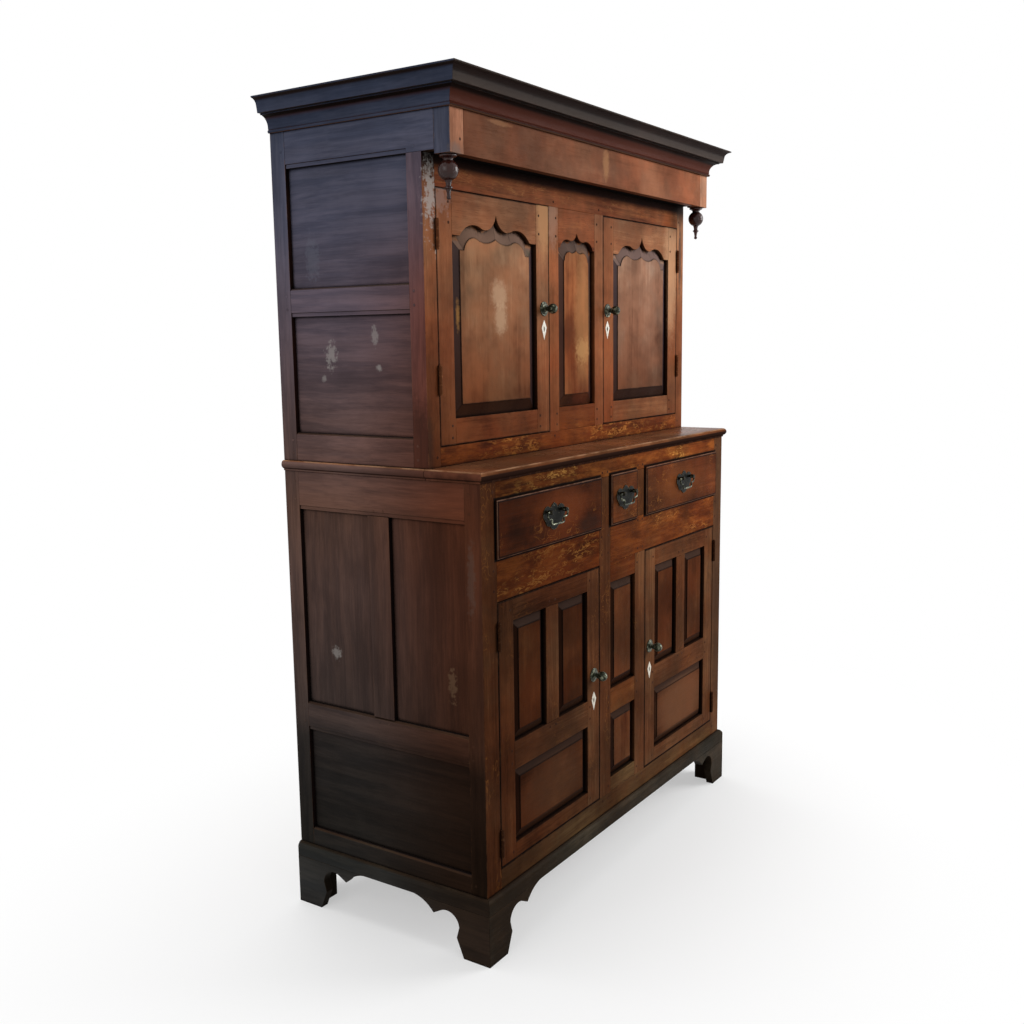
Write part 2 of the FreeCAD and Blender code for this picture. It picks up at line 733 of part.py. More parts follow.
def upper_stage(lower_centre_panels):
    """Frames, panels and boards of the upper case, set back from the face of the lower one."""
    sockets = []
    y0 = upper_face
    y1 = upper_face + frame_thick
    depth = (y0, y1)
    posts = [block(-half, upper_post_edge, y0, y0 + upper_post_depth, upper_base, head_bottom),
             block(-half, -half + rear_post_width, rear_frame, case_depth, upper_base, frame_top)]
    posts = both_sides(posts)
    x_post = upper_post_edge
    rails = [
        tenoned((x_post, -x_post) + depth + (upper_base, upper_opening_bottom), 0, 1, (-1, 1), sockets),
        tenoned((x_post, -x_post) + depth + (upper_opening_top, head_bottom), 0, 1, (-1, 1), sockets),
    ]
    edge = upper_centre_edge
    panel_bottom = upper_opening_bottom + upper_door_bottom_rail
    shoulder = upper_opening_top - upper_door_head_rail
    rails.append(tenoned((edge, -edge) + depth + (upper_opening_bottom, panel_bottom), 0, 1, (-1, 1), sockets))
    arch = (centre_apex_share * upper_centre_opening, centre_arch_shares)
    rails.append(arched_rail(edge, -edge, shoulder, upper_opening_top, y0, frame_thick, arch, sockets))
    stile = tenoned((upper_stile_edge, edge) + depth + (upper_opening_bottom, upper_opening_top), 2, 1, (-1, 1),
                    sockets)
    other_stile = tenoned((-edge, -upper_stile_edge) + depth + (upper_opening_bottom, upper_opening_top), 2, 1,
                          (-1, 1), sockets)
    field_width = upper_centre_opening - 2 * arched_field_bevel
    field_arch = (centre_field_apex_share * field_width, centre_field_shares)
    centre_panel = fielded_panel(edge, -edge, panel_bottom, shoulder, y0, sockets, bevel=arched_field_bevel,
                                 arch=arch, field_arch=field_arch)
    rear_x = -half + rear_post_width
    back_depth = (back_rail_face, back_board_face)
    for z0 in (upper_base, frame_top - back_rail_height):
        rail = (rear_x, -rear_x) + back_depth + (z0, z0 + back_rail_height)
        rails.append(tenoned(rail, 0, 1, (-1, 1), sockets, rear_tenon_length))

    side_sockets = []
    x0 = -half
    s0 = upper_face + upper_post_depth
    s1 = rear_frame
    low_top = upper_base + upper_side_bottom_rail
    mid_bottom = low_top + upper_side_low_panel
    mid_top = mid_bottom + upper_side_middle_rail
    side_rails = [
        side_rail(s0, s1, upper_base, low_top, side_sockets, sill=True),
        side_rail(s0, s1, mid_bottom, mid_top, side_sockets, sill=True, lintel=True),
        side_rail(frieze_setback + corner_block_depth, s1, head_bottom, frame_top, side_sockets,
                  lintel=True, lintel_start=s0),
    ]
    face = x0 + side_panel_recess
    back = face + panel_edge_thick
    side_panels = [flat_panel(face, back, s0, s1, low_top, mid_bottom, 0, side_sockets),
                   flat_panel(face, back, s0, s1, mid_top, head_bottom, 0, side_sockets)]
    side_rails = housed_all(side_rails, side_sockets)
    sockets += both_sides(side_sockets)
    sockets += both_sides(hinge_recesses(upper_hinge_places(), upper_post_edge, upper_face, frame_side=True))
    sockets += both_sides([bolt_socket(upper_stile_edge, upper_face, upper_key_height)])

    save("upper_stiles", housed_all(posts + [stile, other_stile], sockets))
    save("upper_rails", housed_all(rails, sockets))
    save("upper_side_rails", both_sides(side_rails))
    save("upper_side_panels", both_sides(side_panels))
    save("centre_panels", lower_centre_panels + [centre_panel])
    save("upper_back_boards", back_boards(upper_base, frame_top))
    frieze_and_head(side_sockets)


def frieze_and_head(side_sockets):
    """The overhanging frieze: its board, the corner blocks and the dark soffit board behind it."""
    sockets = both_sides(side_sockets)
    block_edge = -half + corner_block_width
    blocks = both_sides([block(-half, block_edge, frieze_setback, frieze_setback + corner_block_depth,
                               frieze_bottom, frame_top)])
    board = tenoned((block_edge, -block_edge, frieze_setback, frieze_setback + frieze_thick, frieze_bottom,
                     frame_top), 0, 1, (-1, 1), sockets)
    save("frieze_corner_blocks", housed_all(blocks, sockets))
    save("frieze_board", [board])
    inner = -half + side_thick
    soffit = block(inner, -inner, frieze_setback + frieze_thick, upper_face + frame_thick, head_bottom,
                   head_bottom + soffit_thick)
    block_back = frieze_setback + corner_block_depth
    corner = block(-half, block_edge, frieze_setback, block_back, frieze_bottom, frame_top)
    soffit = housed(soffit, both_sides([corner]))
    roof = split_boards(-half, half, frieze_setback, case_depth, frame_top, frame_top + roof_thick, 3)
    save("head_boards", [soffit] + roof)


def upper_inner_boards():
    notches = both_sides([
        block(-half, upper_post_edge, upper_face, upper_face + upper_post_depth, upper_base, head_bottom),
        block(-half, -half + rear_post_width, rear_frame, case_depth, upper_base, frame_top),
    ])
    floor = boards_on_bearers(upper_opening_bottom - seat_gap - floor_thick, floor_thick,
                              upper_face + frame_thick, notches)
    shelf = boards_on_bearers(upper_shelf_height, shelf_thick, upper_face + upper_post_depth + shelf_setback,
                              notches)
    save("upper_inner_boards", floor + shelf)


# Turned pendants, as shares of the ball's radius and of the pendant's length downwards
pendant_shares = {
    "collar": (0.88, 0.0), "collar_foot": (0.88, 0.05), "cavetto": (0.56, 0.085), "draw": (0.27, 0.625),
    "stem": (0.25, 0.70), "ring": (0.38, 0.735), "ring_foot": (0.25, 0.77),
}
pendant_ball_share = 0.35
pendant_neck_angle = 63
pendant_foot_angle = 69
pendant_tip_radius = 4.6
pendant_tip_angle = 44
ball_band_count = 7
ball_flat = 1.2
tip_band_count = 4


def ball_bands(radius, centre, first, last, count, way):
    """A ball's outline as straight turned bands, from one angle to another in degrees from the equator.
    way is 1 where the distance along the axis grows, and -1 where it falls."""
    steps = []
    for n in range(count + 1):
        angle = math.radians(first + (last - first) * n / count)
        band_radius = max(radius * math.cos(angle), ball_flat)
        steps.append(((band_radius, centre + way * radius * math.sin(angle)),))
    return steps


def pendant():
    """One turned drop: collar, ball, drawn stem with a ring and a small tip."""
    ball = pendant_ball_radius
    p = {}
    for name, pair in pendant_shares.items():
        p[name] = (pair[0] * ball, frieze_bottom - pair[1] * pendant_length)
    centre = frieze_bottom - pendant_ball_share * pendant_length
    tip = pendant_tip_radius
    bottom = frieze_bottom - pendant_length
    x = -half + pendant_inset
    y = frieze_setback + pendant_inset
    steps = [(p["collar"],), (p["collar_foot"],), (p["cavetto"],)]
    steps += ball_bands(ball, centre, -pendant_neck_angle, pendant_foot_angle, ball_band_count, -1)
    steps += [(p["draw"],), (p["stem"],), (p["ring"],), (p["ring_foot"],)]
    steps += ball_bands(tip, bottom + tip, -pendant_tip_angle, 90, tip_band_count, -1) + [((0, bottom),)]
    wire = outline(lambda q: Vector(x + q[0], y, q[1]), (0, frieze_bottom), steps)
    return turned(wire, Vector(x, y, 0), Vector(0, 0, 1))


# Doors

def lower_hinge_places():
    return (lower_opening_bottom + lower_hinge_rise, lower_opening_top - lower_hinge_drop)


def upper_hinge_places():
    return (upper_opening_bottom + upper_hinge_rise, upper_opening_top - upper_hinge_drop)


def hinge_axis(frame_edge, face):
    """Where a door turns: in the middle of the gap, just in front of the faces."""
    return frame_edge + door_gap / 2, face - knuckle_radius - seat_gap


def leaf_spans(frame_edge, frame_side):
    """x range of a hinge leaf, let into the frame's edge or into the door's edge."""
    if frame_side:
        return frame_edge - hinge_leaf_thick, frame_edge
    return frame_edge + door_gap, frame_edge + door_gap + hinge_leaf_thick


def hinge_recesses(places, frame_edge, face, frame_side):
    """The shallow beds that the leaves lie in."""
    x0, x1 = leaf_spans(frame_edge, frame_side)
    beds = []
    for z in places:
        low = z - hinge_height / 2
        beds.append(block(x0, x1, face - overrun, face + hinge_leaf_width, low, low + hinge_height))
    return beds


def knuckle_spans(z):
    """Three knuckles: the frame's above and below, the door's between them."""
    base = z - hinge_height / 2
    long = hinge_height * knuckle_share
    return [(base, base + long - knuckle_gap), (base + long, base + 2 * long - knuckle_gap),
            (base + 2 * long, base + hinge_height)]


def hinge_leaf(frame_edge, face, z, frame_side):
    """One leaf with its knuckles, bored for the pin."""
    ax, ay = hinge_axis(frame_edge, face)
    x0, x1 = leaf_spans(frame_edge, frame_side)
    leaf = block(x0, x1, face, face + hinge_leaf_width, z - hinge_height / 2, z + hinge_height / 2)
    spans = knuckle_spans(z)
    chosen = [spans[0], spans[2]] if frame_side else [spans[1]]
    for z0, z1 in chosen:
        arm = block(x0, x1, ay, face + hinge_leaf_thick, z0, z1)
        barrel = Part.makeCylinder(knuckle_radius, z1 - z0, Vector(ax, ay, z0), Vector(0, 0, 1))
        leaf = leaf.fuse([arm, barrel])
    bore = Part.makeCylinder(pin_radius + pin_play, hinge_height + 2 * overrun,
                             Vector(ax, ay, z - hinge_height / 2 - overrun), Vector(0, 0, 1))
    return one_solid(leaf.cut(bore))


def hinge_pin(frame_edge, face, z):
    ax, ay = hinge_axis(frame_edge, face)
    low = z - hinge_height / 2
    pin = Part.makeCylinder(pin_radius, hinge_height, Vector(ax, ay, low), Vector(0, 0, 1))
    for z0 in (low - pin_head_height, low + hinge_height):
        head = Part.makeCylinder(pin_head_radius, pin_head_height, Vector(ax, ay, z0), Vector(0, 0, 1))
        pin = pin.fuse(head)
    return one_solid(pin)


def frame_hinges():
    """Leaves and pins that stay with the case."""
    pieces = []
    for places, edge, face in ((lower_hinge_places(), lower_post_edge, 0),
                               (upper_hinge_places(), upper_post_edge, upper_face)):
        for z in places:
            pieces.append(hinge_leaf(edge, face, z, True))
            pieces.append(hinge_pin(edge, face, z))
    save("frame_hinges_and_pins", both_sides(pieces))


# Kite-shaped keyhole plate, as shares of its width and height from the lowest point
escutcheon_shares = {"side": (0.5, 0.60), "high": (0.20, 0.86), "low": (0.24, 0.30)}


def escutcheon_wire(x, z, y):
    """A pointed bone plate, widest above its middle, drawn about (x, z)."""
    low = z - escutcheon_height / 2
    high = z + escutcheon_height / 2
    p = {}
    for name, pair in escutcheon_shares.items():
        p[name] = (pair[0] * escutcheon_width, low + pair[1] * escutcheon_height)
    side = p["side"]
    up = p["high"]
    down = p["low"]
    steps = [((x + down[0], down[1]), (x + side[0], side[1])), ((x + up[0], up[1]), (x, high)),
             ((x - up[0], up[1]), (x - side[0], side[1])), ((x - down[0], down[1]), (x, low))]
    start = (x, low)
    edges = []
    here = start
    put = in_xz(y)
    for middle, stop in steps:
        edges.append(Part.Arc(put(here), put(middle), put(stop)).toShape())
        here = stop
    return Part.Wire(edges)


def keyhole(x, z, y, depth):
    eye = Part.makeCylinder(keyhole_radius, depth, Vector(x, y, z + keyhole_slot_length / 2), Vector(0, 1, 0))
    slot = block(x - keyhole_slot_width / 2, x + keyhole_slot_width / 2, y, y + depth, z - keyhole_slot_length / 2,
                 z + keyhole_slot_length / 2)
    return eye.fuse(slot)


def escutcheon(x, z, face):
    """Returns the plate and the two cuts that it and the key need in the stile."""
    plate = prism(escutcheon_wire(x, z, face - escutcheon_proud), Vector(0, escutcheon_thick, 0))
    hole = keyhole(x, z, face - overrun, keyhole_depth + overrun)
    bed = prism(escutcheon_wire(x, z, face - escutcheon_proud), Vector(0, escutcheon_thick, 0))
    return one_solid(plate.cut(hole)), [bed, hole]


# Section of a knob's rose, as shares of its radius and thickness
rose_shares = {"edge": (1.0, 0.35), "shoulder": (0.90, 0.62), "brow": (0.68, 1.0)}
knob_neck_angle = 65


def knob(x, z, face):
    """A ball knob on a short neck and a round rose, drawn in radius and in distance out from the face."""
    steps = [((rose_radius, 0),)]
    for radius_share, thick_share in rose_shares.values():
        steps.append(((radius_share * rose_radius, thick_share * rose_thick),))
    steps.append(((knob_neck_radius, rose_thick),))
    steps += ball_bands(knob_radius, knob_reach - knob_radius, -knob_neck_angle, 90, ball_band_count, 1)
    steps.append(((0, knob_reach),))
    wire = outline(lambda q: Vector(x + q[0], face - q[1], z), (0, 0), steps)
    return turned(wire, Vector(x, 0, z), Vector(0, 1, 0))


def lock_case(edge, face, z):
    """The iron lock on the back of the closing stile, with the slot that its bolt slides in."""
    x1 = edge - door_gap - lock_edge
    y0 = face + door_thick
    case = block(x1 - lock_width, x1, y0, y0 + lock_thick, z - lock_height / 2, z + lock_height / 2)
    slot_y = y0 + lock_plate_thick
    reach = bolt_length + 2 * seat_gap
    slot = block(x1 - reach, x1 + overrun, slot_y, slot_y + bolt_thick + 2 * seat_gap,
                 z - bolt_height / 2 - seat_gap, z + bolt_height / 2 + seat_gap)
    return one_solid(case.cut(slot))


def lock_bolt(edge, face, z):
    x1 = edge - door_gap - lock_edge - seat_gap
    y0 = face + door_thick + lock_plate_thick + seat_gap
    return block(x1 - bolt_length, x1, y0, y0 + bolt_thick, z - bolt_height / 2, z + bolt_height / 2)


def bolt_socket(edge, face, z):
    """The mortise in the frame's stile that the bolt shoots into."""
    depth = bolt_travel - door_gap - lock_edge + mortise_gap
    y0 = face + door_thick + lock_plate_thick
    return block(edge, edge + depth, y0, y0 + bolt_thick + 2 * seat_gap, z - bolt_height / 2 - seat_gap,
                 z + bolt_height / 2 + seat_gap)


def door_stiles(x0, x1, z0, z1, face, stile):
    left = block(x0, x0 + stile, face, face + door_thick, z0, z1)
    right = block(x1 - stile, x1, face, face + door_thick, z0, z1)
    return [left, right]


def finish_door(name, stiles, rails, panels, sockets, hinge_edge, lock_edge_x, face, places, fittings):
    """Fit hinges, lock, knob and escutcheon to a left door, and save it and its mirror image."""
    inset, knob_z, key_z = fittings
    closing = lock_edge_x - inset
    plate, cuts = escutcheon(closing, key_z, face)
    sockets = sockets + cuts + hinge_recesses(places, hinge_edge, face, frame_side=False)
    frame = housed_all(stiles + rails, sockets)
    iron = [lock_case(lock_edge_x, face, key_z)]
    for z in places:
        iron.append(hinge_leaf(hinge_edge, face, z, False))
    nodes = {
        "frame": frame, "panels": panels, "ironwork": iron, "escutcheon": [plate],
        "knob": [knob(closing, knob_z, face)], "lock_bolt": [lock_bolt(lock_edge_x, face, key_z)],
    }
    for part, solids in nodes.items():
        save(name + "_left_" + part, solids)
        save(name + "_right_" + part, mirrored(solids))


def lower_doors():
    """Joined doors: two tall fielded panels over a wide one."""
    x0 = lower_post_edge + door_gap
    x1 = inner_stile_edge - door_gap
    z0 = lower_opening_bottom + door_gap
    z1 = lower_opening_top - door_gap
    sockets = []
    stiles = door_stiles(x0, x1, z0, z1, 0, lower_door_stile)
    a = x0 + lower_door_stile
    b = x1 - lower_door_stile
    depth = (0, door_thick)
    rails = [
        tenoned((a, b) + depth + (z0, short_panel_bottom), 0, 1, (-1, 1), sockets),
        tenoned((a, b) + depth + (short_panel_top, tall_panel_bottom), 0, 1, (-1, 1), sockets),
        tenoned((a, b) + depth + (tall_panel_top, z1), 0, 1, (-1, 1), sockets),
    ]
    m0 = (a + b - lower_door_muntin) / 2
    m1 = m0 + lower_door_muntin
    muntin = tenoned((m0, m1) + depth + (tall_panel_bottom, tall_panel_top), 2, 1, (-1, 1), sockets)
    panels = [
        fielded_panel(a, m0, tall_panel_bottom, tall_panel_top, 0, sockets),
        fielded_panel(m1, b, tall_panel_bottom, tall_panel_top, 0, sockets),
        fielded_panel(a, b, short_panel_bottom, short_panel_top, 0, sockets),
    ]
    finish_door("lower_door", stiles, rails + [muntin], panels, sockets, lower_post_edge, inner_stile_edge, 0,
                lower_hinge_places(), (lower_knob_inset, lower_knob_height, lower_key_height))


def upper_doors():
    """Joined doors with one arched and fielded panel under an ogee head rail."""
    face = upper_face
    x0 = upper_post_edge + door_gap
    x1 = upper_stile_edge - door_gap
    z0 = upper_opening_bottom + door_gap
    z1 = upper_opening_top - door_gap
    sockets = []
    stiles = door_stiles(x0, x1, z0, z1, face, upper_door_stile)
    a = x0 + upper_door_stile
    b = x1 - upper_door_stile
    depth = (face, face + door_thick)
    panel_bottom = upper_opening_bottom + upper_door_bottom_rail
    shoulder = upper_opening_top - upper_door_head_rail
    arch = (door_apex_share * (b - a), door_arch_shares)
    rails = [
        tenoned((a, b) + depth + (z0, panel_bottom), 0, 1, (-1, 1), sockets),
        arched_rail(a, b, shoulder, z1, face, door_thick, arch, sockets),
    ]
    field_arch = (door_field_apex_share * (b - a - 2 * arched_field_bevel), door_field_shares)
    panel = fielded_panel(a, b, panel_bottom, shoulder, face, sockets, bevel=arched_field_bevel, arch=arch,
                          field_arch=field_arch)
    finish_door("upper_door", stiles, rails, [panel], sockets, upper_post_edge, upper_stile_edge, face,
                upper_hinge_places(), (upper_knob_inset, upper_knob_height, upper_key_height))


# Drawers

def drawer_side(x0, x1, y_joint, y_end, z0, z1):
    """One side with the dovetails that lock it into the front."""
    pitch = (z1 - z0) / dovetail_count
    points = [(y_end, z0), (y_joint, z0)]
    for n in range(dovetail_count):
        middle = z0 + (n + 0.5) * pitch
        root = dovetail_root / 2
        tip = root + dovetail_flare / 2
        points += [(y_joint, middle - root), (y_joint - dovetail_length, middle - tip),
                   (y_joint - dovetail_length, middle + tip), (y_joint, middle + root)]
    points += [(y_joint, z1), (y_end, z1)]
    return prism(polygon(in_yz(x0), points), Vector(x1 - x0, 0, 0))


def drawer(name, x0, x1):
    """Lipped front, dovetailed sides, back and bottom, then its handle."""
    z0 = drawer_bottom
    z1 = drawer_top
    lip = block(x0 - lip_overlap, x1 + lip_overlap, -lip_proud, -seat_gap, z0 - lip_overlap, z1 + lip_overlap)
    edges = [e for e in lip.Edges if abs(e.BoundBox.YMax + lip_proud) < groove_play and
             abs(e.BoundBox.YMin + lip_proud) < groove_play]
    lip = lip.makeFillet(lip_round, edges)
    a = x0 + drawer_play
    b = x1 - drawer_play
    low = z0 + seat_gap
    high = z1 - drawer_play
    back_face = drawer_front_thick
    front = lip.fuse(block(a, b, -seat_gap, back_face, low, high))
    sides = [drawer_side(a, a + drawer_side_thick, back_face, drawer_end, low, high),
             drawer_side(b - drawer_side_thick, b, back_face, drawer_end, low, high)]
    for side in sides:
        front = front.cut(side)
    inner_a = a + drawer_side_thick
    inner_b = b - drawer_side_thick
    floor_z = low + drawer_bottom_lift
    back = block(inner_a, inner_b, drawer_end - drawer_back_thick, drawer_end, floor_z + drawer_bottom_thick,
                 high - drawer_back_drop)
    bottom = block(inner_a, inner_b, back_face, drawer_end, floor_z, floor_z + drawer_bottom_thick)
    save(name + "_front", [one_solid(front)])
    save(name + "_box", sides + [back, bottom])
    handle(name, (x0 + x1) / 2, (z0 + z1) / 2 + handle_rise, -lip_proud)


# Batwing plate behind a drawer handle, as shares of its half width and of its height from the middle
plate_shares = {
    "top": (0.0, 0.50), "crown": (0.20, 0.42), "notch": (0.34, 0.30), "ear": (0.60, 0.40),
    "ear_out": (0.86, 0.34),
    "wing": (1.0, 0.06), "wing_low": (0.80, -0.14), "hip": (0.66, -0.30), "skirt": (0.40, -0.34),
    "skirt_low": (0.20, -0.46), "foot": (0.0, -0.50),
}


def backplate(x, z, face):
    p = {}
    for name, pair in plate_shares.items():
        p[name] = (pair[0] * plate_width / 2, z + pair[1] * plate_height)

    def right(name):
        return (x + p[name][0], p[name][1])

    def left(name):
        return (x - p[name][0], p[name][1])

    chain = [("crown", "notch"), ("ear", "ear_out"), ("wing", "wing_low"), ("hip", "skirt"),
             ("skirt_low", "foot")]
    edges = []
    put = in_xz(face - plate_thick)
    for which in (right, left):
        here = "top"
        for middle, stop in chain:
            edges.append(Part.Arc(put(which(here)), put(which(middle)), put(which(stop))).toShape())
            here = stop
    wire = Part.Wire(Part.__sortEdges__(edges))
    return prism(wire, Vector(0, plate_thick, 0))


def handle(name, x, z, face):
    """Backplate with its two posts, and the swan-neck bail that swings in them."""
    plate = backplate(x, z - handle_rise, face)
    pivot_y = face - handle_post_reach
    bore = bail_wire + bail_pin_play
    outward = Vector(0, -1, 0)
    for side in (-1, 1):
        px = x + side * handle_post_spacing / 2
        root = Vector(px, face - plate_thick, z)
        cap_back = Vector(px, pivot_y + handle_post_cap, z)
        cap_front = Vector(px, pivot_y - handle_post_cap, z)
        nose_length = handle_post_cap - handle_post_radius
        post = Part.makeCylinder(handle_post_radius, handle_post_reach - plate_thick, root, outward)
        cap = Part.makeCylinder(handle_post_cap, 2 * handle_post_cap, cap_back, outward)
        nose = Part.makeCone(handle_post_cap, handle_post_radius, nose_length, cap_front, outward)
        plate = plate.fuse([post, cap, nose])
    hole_start = Vector(x - handle_post_spacing / 2 - 2 * handle_post_cap, pivot_y, z)
    hole = Part.makeCylinder(bore, handle_post_spacing + 4 * handle_post_cap, hole_start, Vector(1, 0, 0))
    save(name + "_handle_plate", [one_solid(plate.cut(hole))])
    save(name + "_bail", [bail(x, z, pivot_y)])


# Corners of the bail's path from its pin down to the straight bar, as shares of half the post spacing and of the
# bail's drop. Each corner is rounded with its own share of the drop.
bail_shares = {"shoulder": (1.45, 0.0, 0.15), "hip": (1.34, 0.50, 0.15), "neck": (0.80, 0.56, 0.15),
               "heel": (0.89, 1.0, 0.12)}


def rounded_path(points, radii):
    """Straight runs joined by tangent arcs: radii holds one radius for each corner between the ends."""
    edges = []
    here = points[0]
    for n in range(1, len(points) - 1):
        back = (points[n - 1] - points[n]).normalize()
        ahead = (points[n + 1] - points[n]).normalize()
        half_angle = back.getAngle(ahead) / 2
        reach = radii[n - 1] / math.tan(half_angle)
        start = points[n] + back * reach
        stop = points[n] + ahead * reach
        inward = (back + ahead).normalize()
        middle = points[n] + inward * (radii[n - 1] / math.sin(half_angle) - radii[n - 1])
        edges.append(Part.LineSegment(here, start).toShape())
        edges.append(Part.Arc(start, middle, stop).toShape())
        here = stop
    edges.append(Part.LineSegment(here, points[-1]).toShape())
    return Part.Wire(edges)


def bail(x, z, y):
    """An eight-sided wire bent down from its two pins, in at the neck and straight across at the bottom."""
    reach = handle_post_spacing / 2
    corners = list(bail_shares.values())
    pin_end = reach - bail_pin_length / 2
    right = [Vector(x + pin_end, y, z)] + [Vector(x + c[0] * reach, y, z - c[1] * bail_drop) for c in corners]
    left = [Vector(2 * x - q.x, y, q.z) for q in reversed(right)]
    radii = [c[2] * bail_drop for c in corners]
    path = rounded_path(right + left, radii + radii[::-1])
    ring = []
    for n in range(bail_sides):
        angle = math.radians(360 * (n + 0.5) / bail_sides)
        ring.append(right[0] + Vector(0, bail_wire * math.cos(angle), bail_wire * math.sin(angle)))
    return path.makePipeShell([polygon(lambda q: q, ring)], True, False).Solids[0]


def drawers():
    drawer("drawer_left", lower_post_edge, inner_stile_edge)
    drawer("drawer_middle", centre_edge, -centre_edge)
    drawer("drawer_right", -inner_stile_edge, -lower_post_edge)


def base():
    """Feet and base moulding."""
    save("bracket_feet", both_sides(front_foot() + rear_foot()))
    front = moulding_front(base_profile, 0, half, base_mould_reach, foot_height, base_top)
    side = moulding_side(base_profile, 0, half, base_mould_reach, foot_height, base_top, case_depth)
    save("base_moulding", [front] + both_sides([side]))


def cornice():
    front = moulding_front(cornice_profile, frieze_setback, half, cornice_reach, cornice_bottom, cornice_top)
    side = moulding_side(cornice_profile, frieze_setback, half, cornice_reach, cornice_bottom, cornice_top,
                         case_depth)
    save("cornice", [front] + both_sides([side]))


base()
lower_inner_boards(ledge_and_tops())
upper_stage(lower_stage())
drawer_runners()
upper_inner_boards()
cornice()
save("pendants", both_sides([pendant()]))
frame_hinges()
lower_doors()
upper_doors()
drawers()
print("case", case_width, case_depth, cornice_top, "front at", front_y)
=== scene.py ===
# %% [markdown]
# # A court cupboard of dark oak, dressed in cells
# The cupboard comes in as a frame of separate solids, already in its place and in metres. This script gives each
# board its grain and wax, eases its edges, and adds the turned work, bails and pegs that a joiner would see.

# %% Load the frame
import math
import random

import bmesh
import bpy
from mathutils import Matrix, Vector
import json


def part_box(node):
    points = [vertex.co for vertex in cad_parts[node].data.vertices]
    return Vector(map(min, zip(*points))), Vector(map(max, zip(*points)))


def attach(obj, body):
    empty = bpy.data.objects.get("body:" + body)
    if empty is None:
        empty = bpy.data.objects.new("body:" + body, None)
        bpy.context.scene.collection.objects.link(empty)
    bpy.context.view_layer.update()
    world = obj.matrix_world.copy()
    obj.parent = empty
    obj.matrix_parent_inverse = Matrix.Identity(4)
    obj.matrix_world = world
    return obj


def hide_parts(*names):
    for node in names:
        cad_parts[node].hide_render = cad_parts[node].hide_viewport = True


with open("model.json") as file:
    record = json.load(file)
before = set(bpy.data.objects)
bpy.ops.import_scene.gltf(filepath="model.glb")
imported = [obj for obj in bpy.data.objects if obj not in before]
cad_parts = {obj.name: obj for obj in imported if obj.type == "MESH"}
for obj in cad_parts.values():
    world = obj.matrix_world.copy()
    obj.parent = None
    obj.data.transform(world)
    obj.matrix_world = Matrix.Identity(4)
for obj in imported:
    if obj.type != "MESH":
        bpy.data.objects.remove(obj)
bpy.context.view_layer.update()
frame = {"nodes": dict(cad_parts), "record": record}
body_of_node = {node: body for body, nodes in frame["record"]["behaviour"]["bodies"].items() for node in nodes}
slot_of_node = {row["node"]: row["material_slot"] for row in frame["record"]["subparts"]}

# %% [markdown]
# ## The camera
# The photographer stood at the left front corner, a little above the ledge. A camera could be turned by Euler angles
# until it looks right, but here its three axes are worked out from the heading, the tilt and the small roll, which
# were fitted to the straight edges of the cupboard.

# %% Camera at the photograph's angle
PHOTO_SIZE = 1024
FOCAL_PIXELS = 1110.6
SENSOR_WIDTH = 36.0
CAMERA_PLACE = Vector((-2.5519, -1.6187, 1.4004))
HEADING = math.radians(56.33)
TILT_DOWN = math.radians(8.8)
ROLL = math.radians(-0.79)
UP = Vector((0, 0, 1))


def camera_axes(heading, tilt, roll):
    """The camera's right, up and backward directions."""
    level = Vector((math.sin(heading), math.cos(heading), 0))
    right = Vector((math.cos(heading), -math.sin(heading), 0))
    ahead = level * math.cos(tilt) - UP * math.sin(tilt)
    up = UP * math.cos(tilt) + level * math.sin(tilt)
    rolled_right = right * math.cos(roll) + up * math.sin(roll)
    rolled_up = up * math.cos(roll) - right * math.sin(roll)
    return rolled_right, rolled_up, -ahead


def linked(name, data):
    """A new object in the scene."""
    thing = bpy.data.objects.new(name, data)
    bpy.context.scene.collection.objects.link(thing)
    return thing


camera = linked("camera", bpy.data.cameras.new("camera"))
camera.data.sensor_width = SENSOR_WIDTH
camera.data.lens = FOCAL_PIXELS * SENSOR_WIDTH / PHOTO_SIZE
turn = Matrix(camera_axes(HEADING, TILT_DOWN, ROLL)).transposed()
camera.matrix_world = Matrix.Translation(CAMERA_PLACE) @ turn.to_4x4()
bpy.context.scene.camera = camera
bpy.context.scene.view_settings.view_transform = "Standard"
print("lens", round(camera.data.lens, 2), "mm")

# %% [markdown]
# ## Building materials from nodes
# A node tree can be clicked together in the editor. In a script it reads better when each node is one call that
# says what goes into its sockets. The tree itself is found from those sockets, so a sum reads like a sum.

# %% Node helpers
def add(tree, kind, inputs=None, **settings):
    """One node: each input is set to a value, or joined to another node's output."""
    node = tree.nodes.new("ShaderNode" + kind)
    for key, value in settings.items():
        setattr(node, key, value)
    for key, value in (inputs or {}).items():
        if isinstance(value, bpy.types.NodeSocket):
            tree.links.new(value, node.inputs[key])
        else:
            node.inputs[key].default_value = value
    return node


def joined(kind, inputs, **settings):
    """A node in the tree that its inputs come from."""
    tree = next(value.id_data for value in inputs.values() if isinstance(value, bpy.types.NodeSocket))
    return add(tree, kind, inputs, **settings)


def sum_of(operation, *values, clamp=False):
    return joined("Math", dict(enumerate(values)), operation=operation, use_clamp=clamp).outputs[0]


def folded(operation, values, clamp=False):
    """The values taken together by one operation, one after the other."""
    result, *others = values
    for other in others:
        result = sum_of(operation, result, other, clamp=clamp)
    return result


def times(*values):
    return folded("MULTIPLY", values)


def plus(*values, clamp=False):
    return folded("ADD", values, clamp)


def least(*values):
    return folded("MINIMUM", values)


def most(*values):
    return folded("MAXIMUM", values)


def minus(first, second):
    return sum_of("SUBTRACT", first, second)


def unsigned(value):
    return sum_of("ABSOLUTE", value)


def distance(first, second):
    """The long side of a right angle whose short sides are the two values."""
    return sum_of("SQRT", plus(times(first, first), times(second, second)))


